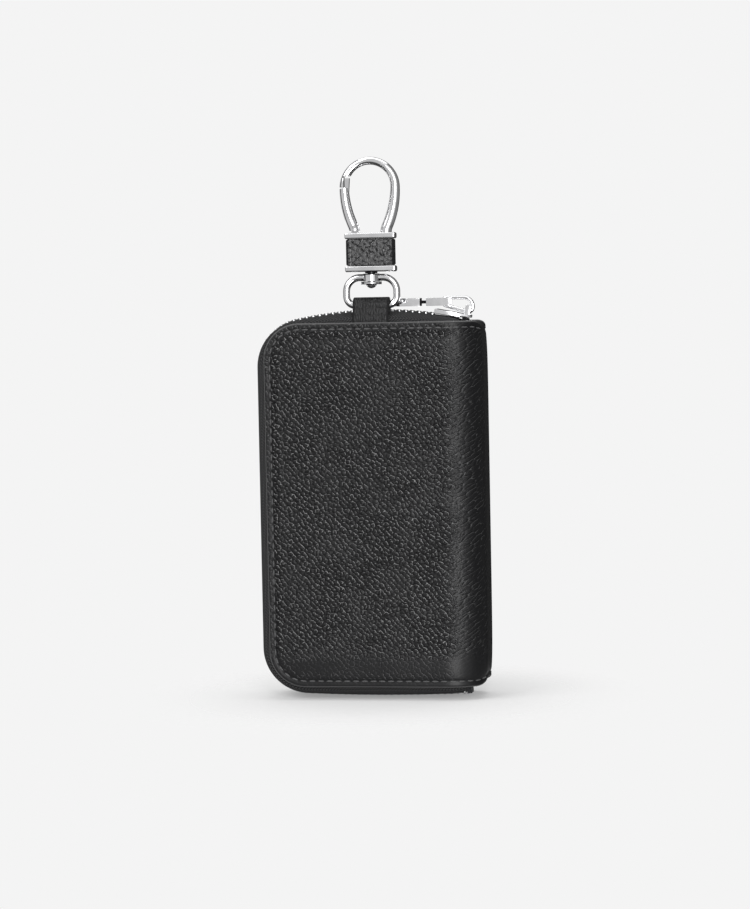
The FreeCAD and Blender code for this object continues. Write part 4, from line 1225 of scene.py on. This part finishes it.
def make_floor():
    """A pale disc that fades out towards its rim."""
    count = 64
    turns = [2 * math.pi * step / count for step in range(count)]
    centre = Vector((0, case_middle, floor_level))
    points = [centre + floor_radius * Vector((math.cos(turn), math.sin(turn), 0)) for turn in turns]
    floor = new_piece("floor", points, [tuple(range(count))])
    material, tree, surface = new_material("pale_floor")
    centred = vector_maths(tree, "SUBTRACT", _0=own_place(tree), _1=centre)
    distance = add_node(tree, "ShaderNodeVectorMath", {"operation": "LENGTH"}, _0=centred).outputs["Value"]
    fade = ramp_between(tree, distance, floor_radius * 0.3, floor_radius * 0.95, 0.7, 0.0)
    set_sockets(tree, surface, Base_Color=(0.9, 0.9, 0.9, 1), Alpha=fade, Roughness=0.9,
                Specular_IOR_Level=0.0)
    floor.data.materials.append(material)
    return floor


floor = make_floor()


def turn_ramp(tree, turn, start, stop, low_out=0.0, high_out=1.0):
    """A ramp between two bearings in degrees, from the front and positive to the right."""
    return ramp_between(tree, turn, math.radians(start), math.radians(stop), low_out, high_out)


def make_world():
    """White all round for what is seen, with a dark upright flag at each side for what is mirrored."""
    flag_light = 0.06
    soft_light = 0.36
    dim_right = 0.24
    dim_front = 0.62
    world = bpy.data.worlds.new("studio")
    bpy.context.scene.world = world
    world.use_nodes = True
    tree = world.node_tree
    rays = add_node(tree, "ShaderNodeLightPath").outputs
    towards = add_node(tree, "ShaderNodeTexCoord").outputs["Generated"]
    parts = add_node(tree, "ShaderNodeSeparateXYZ", Vector=towards).outputs
    turn = maths(tree, "ARCTAN2", parts[0], times(tree, parts[1], -1.0))
    right = turn_ramp(tree, turn, 46, 66, 1.0, dim_right)
    front = turn_ramp(tree, turn, -6, 16, dim_front, 1.0)
    behind = maths(tree, "MAXIMUM", turn_ramp(tree, turn, 124, 138),
                   turn_ramp(tree, turn, -172, -160, 1.0, 0.0))
    left = times(tree, turn_ramp(tree, turn, -116, -106),
                 turn_ramp(tree, turn, -84, -72, 1.0, 0.0))
    low = ramp_between(tree, parts[2], -0.5, -0.35, 1.0, 0.0)
    flags = maths(tree, "MAXIMUM", low, maths(tree, "MAXIMUM", behind, left))
    mirrored = mix_values(tree, flags, times(tree, front, right), flag_light)
    lit = mix_values(tree, rays["Is Glossy Ray"], soft_light, mirrored)
    shown = maths(tree, "MAXIMUM", rays["Is Camera Ray"], rays["Is Transmission Ray"])
    strength = mix_values(tree, shown, lit, backdrop)
    set_sockets(tree, tree.nodes["Background"], Color=(1, 1, 1, 1), Strength=strength)


make_world()


def add_softbox(name, place, aim, width, height, power):
    """A flat lamp at a place, turned to face its aim."""
    lamp = bpy.data.lights.new(name, "AREA")
    lamp.shape = "RECTANGLE"
    lamp.size = width
    lamp.size_y = height
    lamp.energy = power
    holder = link_object(name, lamp)
    holder.location = place
    holder.rotation_euler = (Vector(aim) - Vector(place)).to_track_quat("-Z", "Y").to_euler()


case_centre = Vector((0, case_middle, (case_top + case_foot) / 2))
add_softbox("key", place=(-0.55, -0.55, 0.5), aim=case_centre, width=0.6, height=0.6, power=3.6)
add_softbox("strip", place=(0.27, -0.96, -0.1), aim=case_centre, width=0.26, height=1.2, power=11.0)
add_softbox("top", place=(0.0, 0.1, 0.8), aim=case_centre, width=0.9, height=0.7, power=3.6)

# Camera
# It stands a little to the spine's side and a little above the middle of the case.
view_yaw = math.radians(9.53)
view_rise = math.radians(3.334)
view_roll = math.radians(-1.102)
view_distance = 0.9729
view_target = Vector((-1.326 * MM, case_middle, -95.503 * MM))
image_height = 909
focal_pixels = 2931.25
sensor_width = 36
nearest_seen = 0.05


def make_camera():
    """A camera turned by its yaw and rise about the target, then rolled about its line of sight."""
    reach = math.cos(view_rise)
    back = Vector((math.sin(view_yaw) * reach, -math.cos(view_yaw) * reach, math.sin(view_rise)))
    level = Vector((math.cos(view_yaw), math.sin(view_yaw), 0))
    upright = back.cross(level)
    right = level * math.cos(view_roll) + upright * math.sin(view_roll)
    up = back.cross(right)
    camera = link_object("camera", bpy.data.cameras.new("camera"))
    camera.data.sensor_width = sensor_width
    camera.data.lens = focal_pixels / image_height * sensor_width
    camera.data.clip_start = nearest_seen
    turn = Matrix((right, up, back)).transposed().to_4x4()
    camera.matrix_world = Matrix.Translation(view_target + back * view_distance) @ turn
    bpy.context.scene.camera = camera


make_camera()
bpy.context.scene.view_settings.view_transform = "Standard"
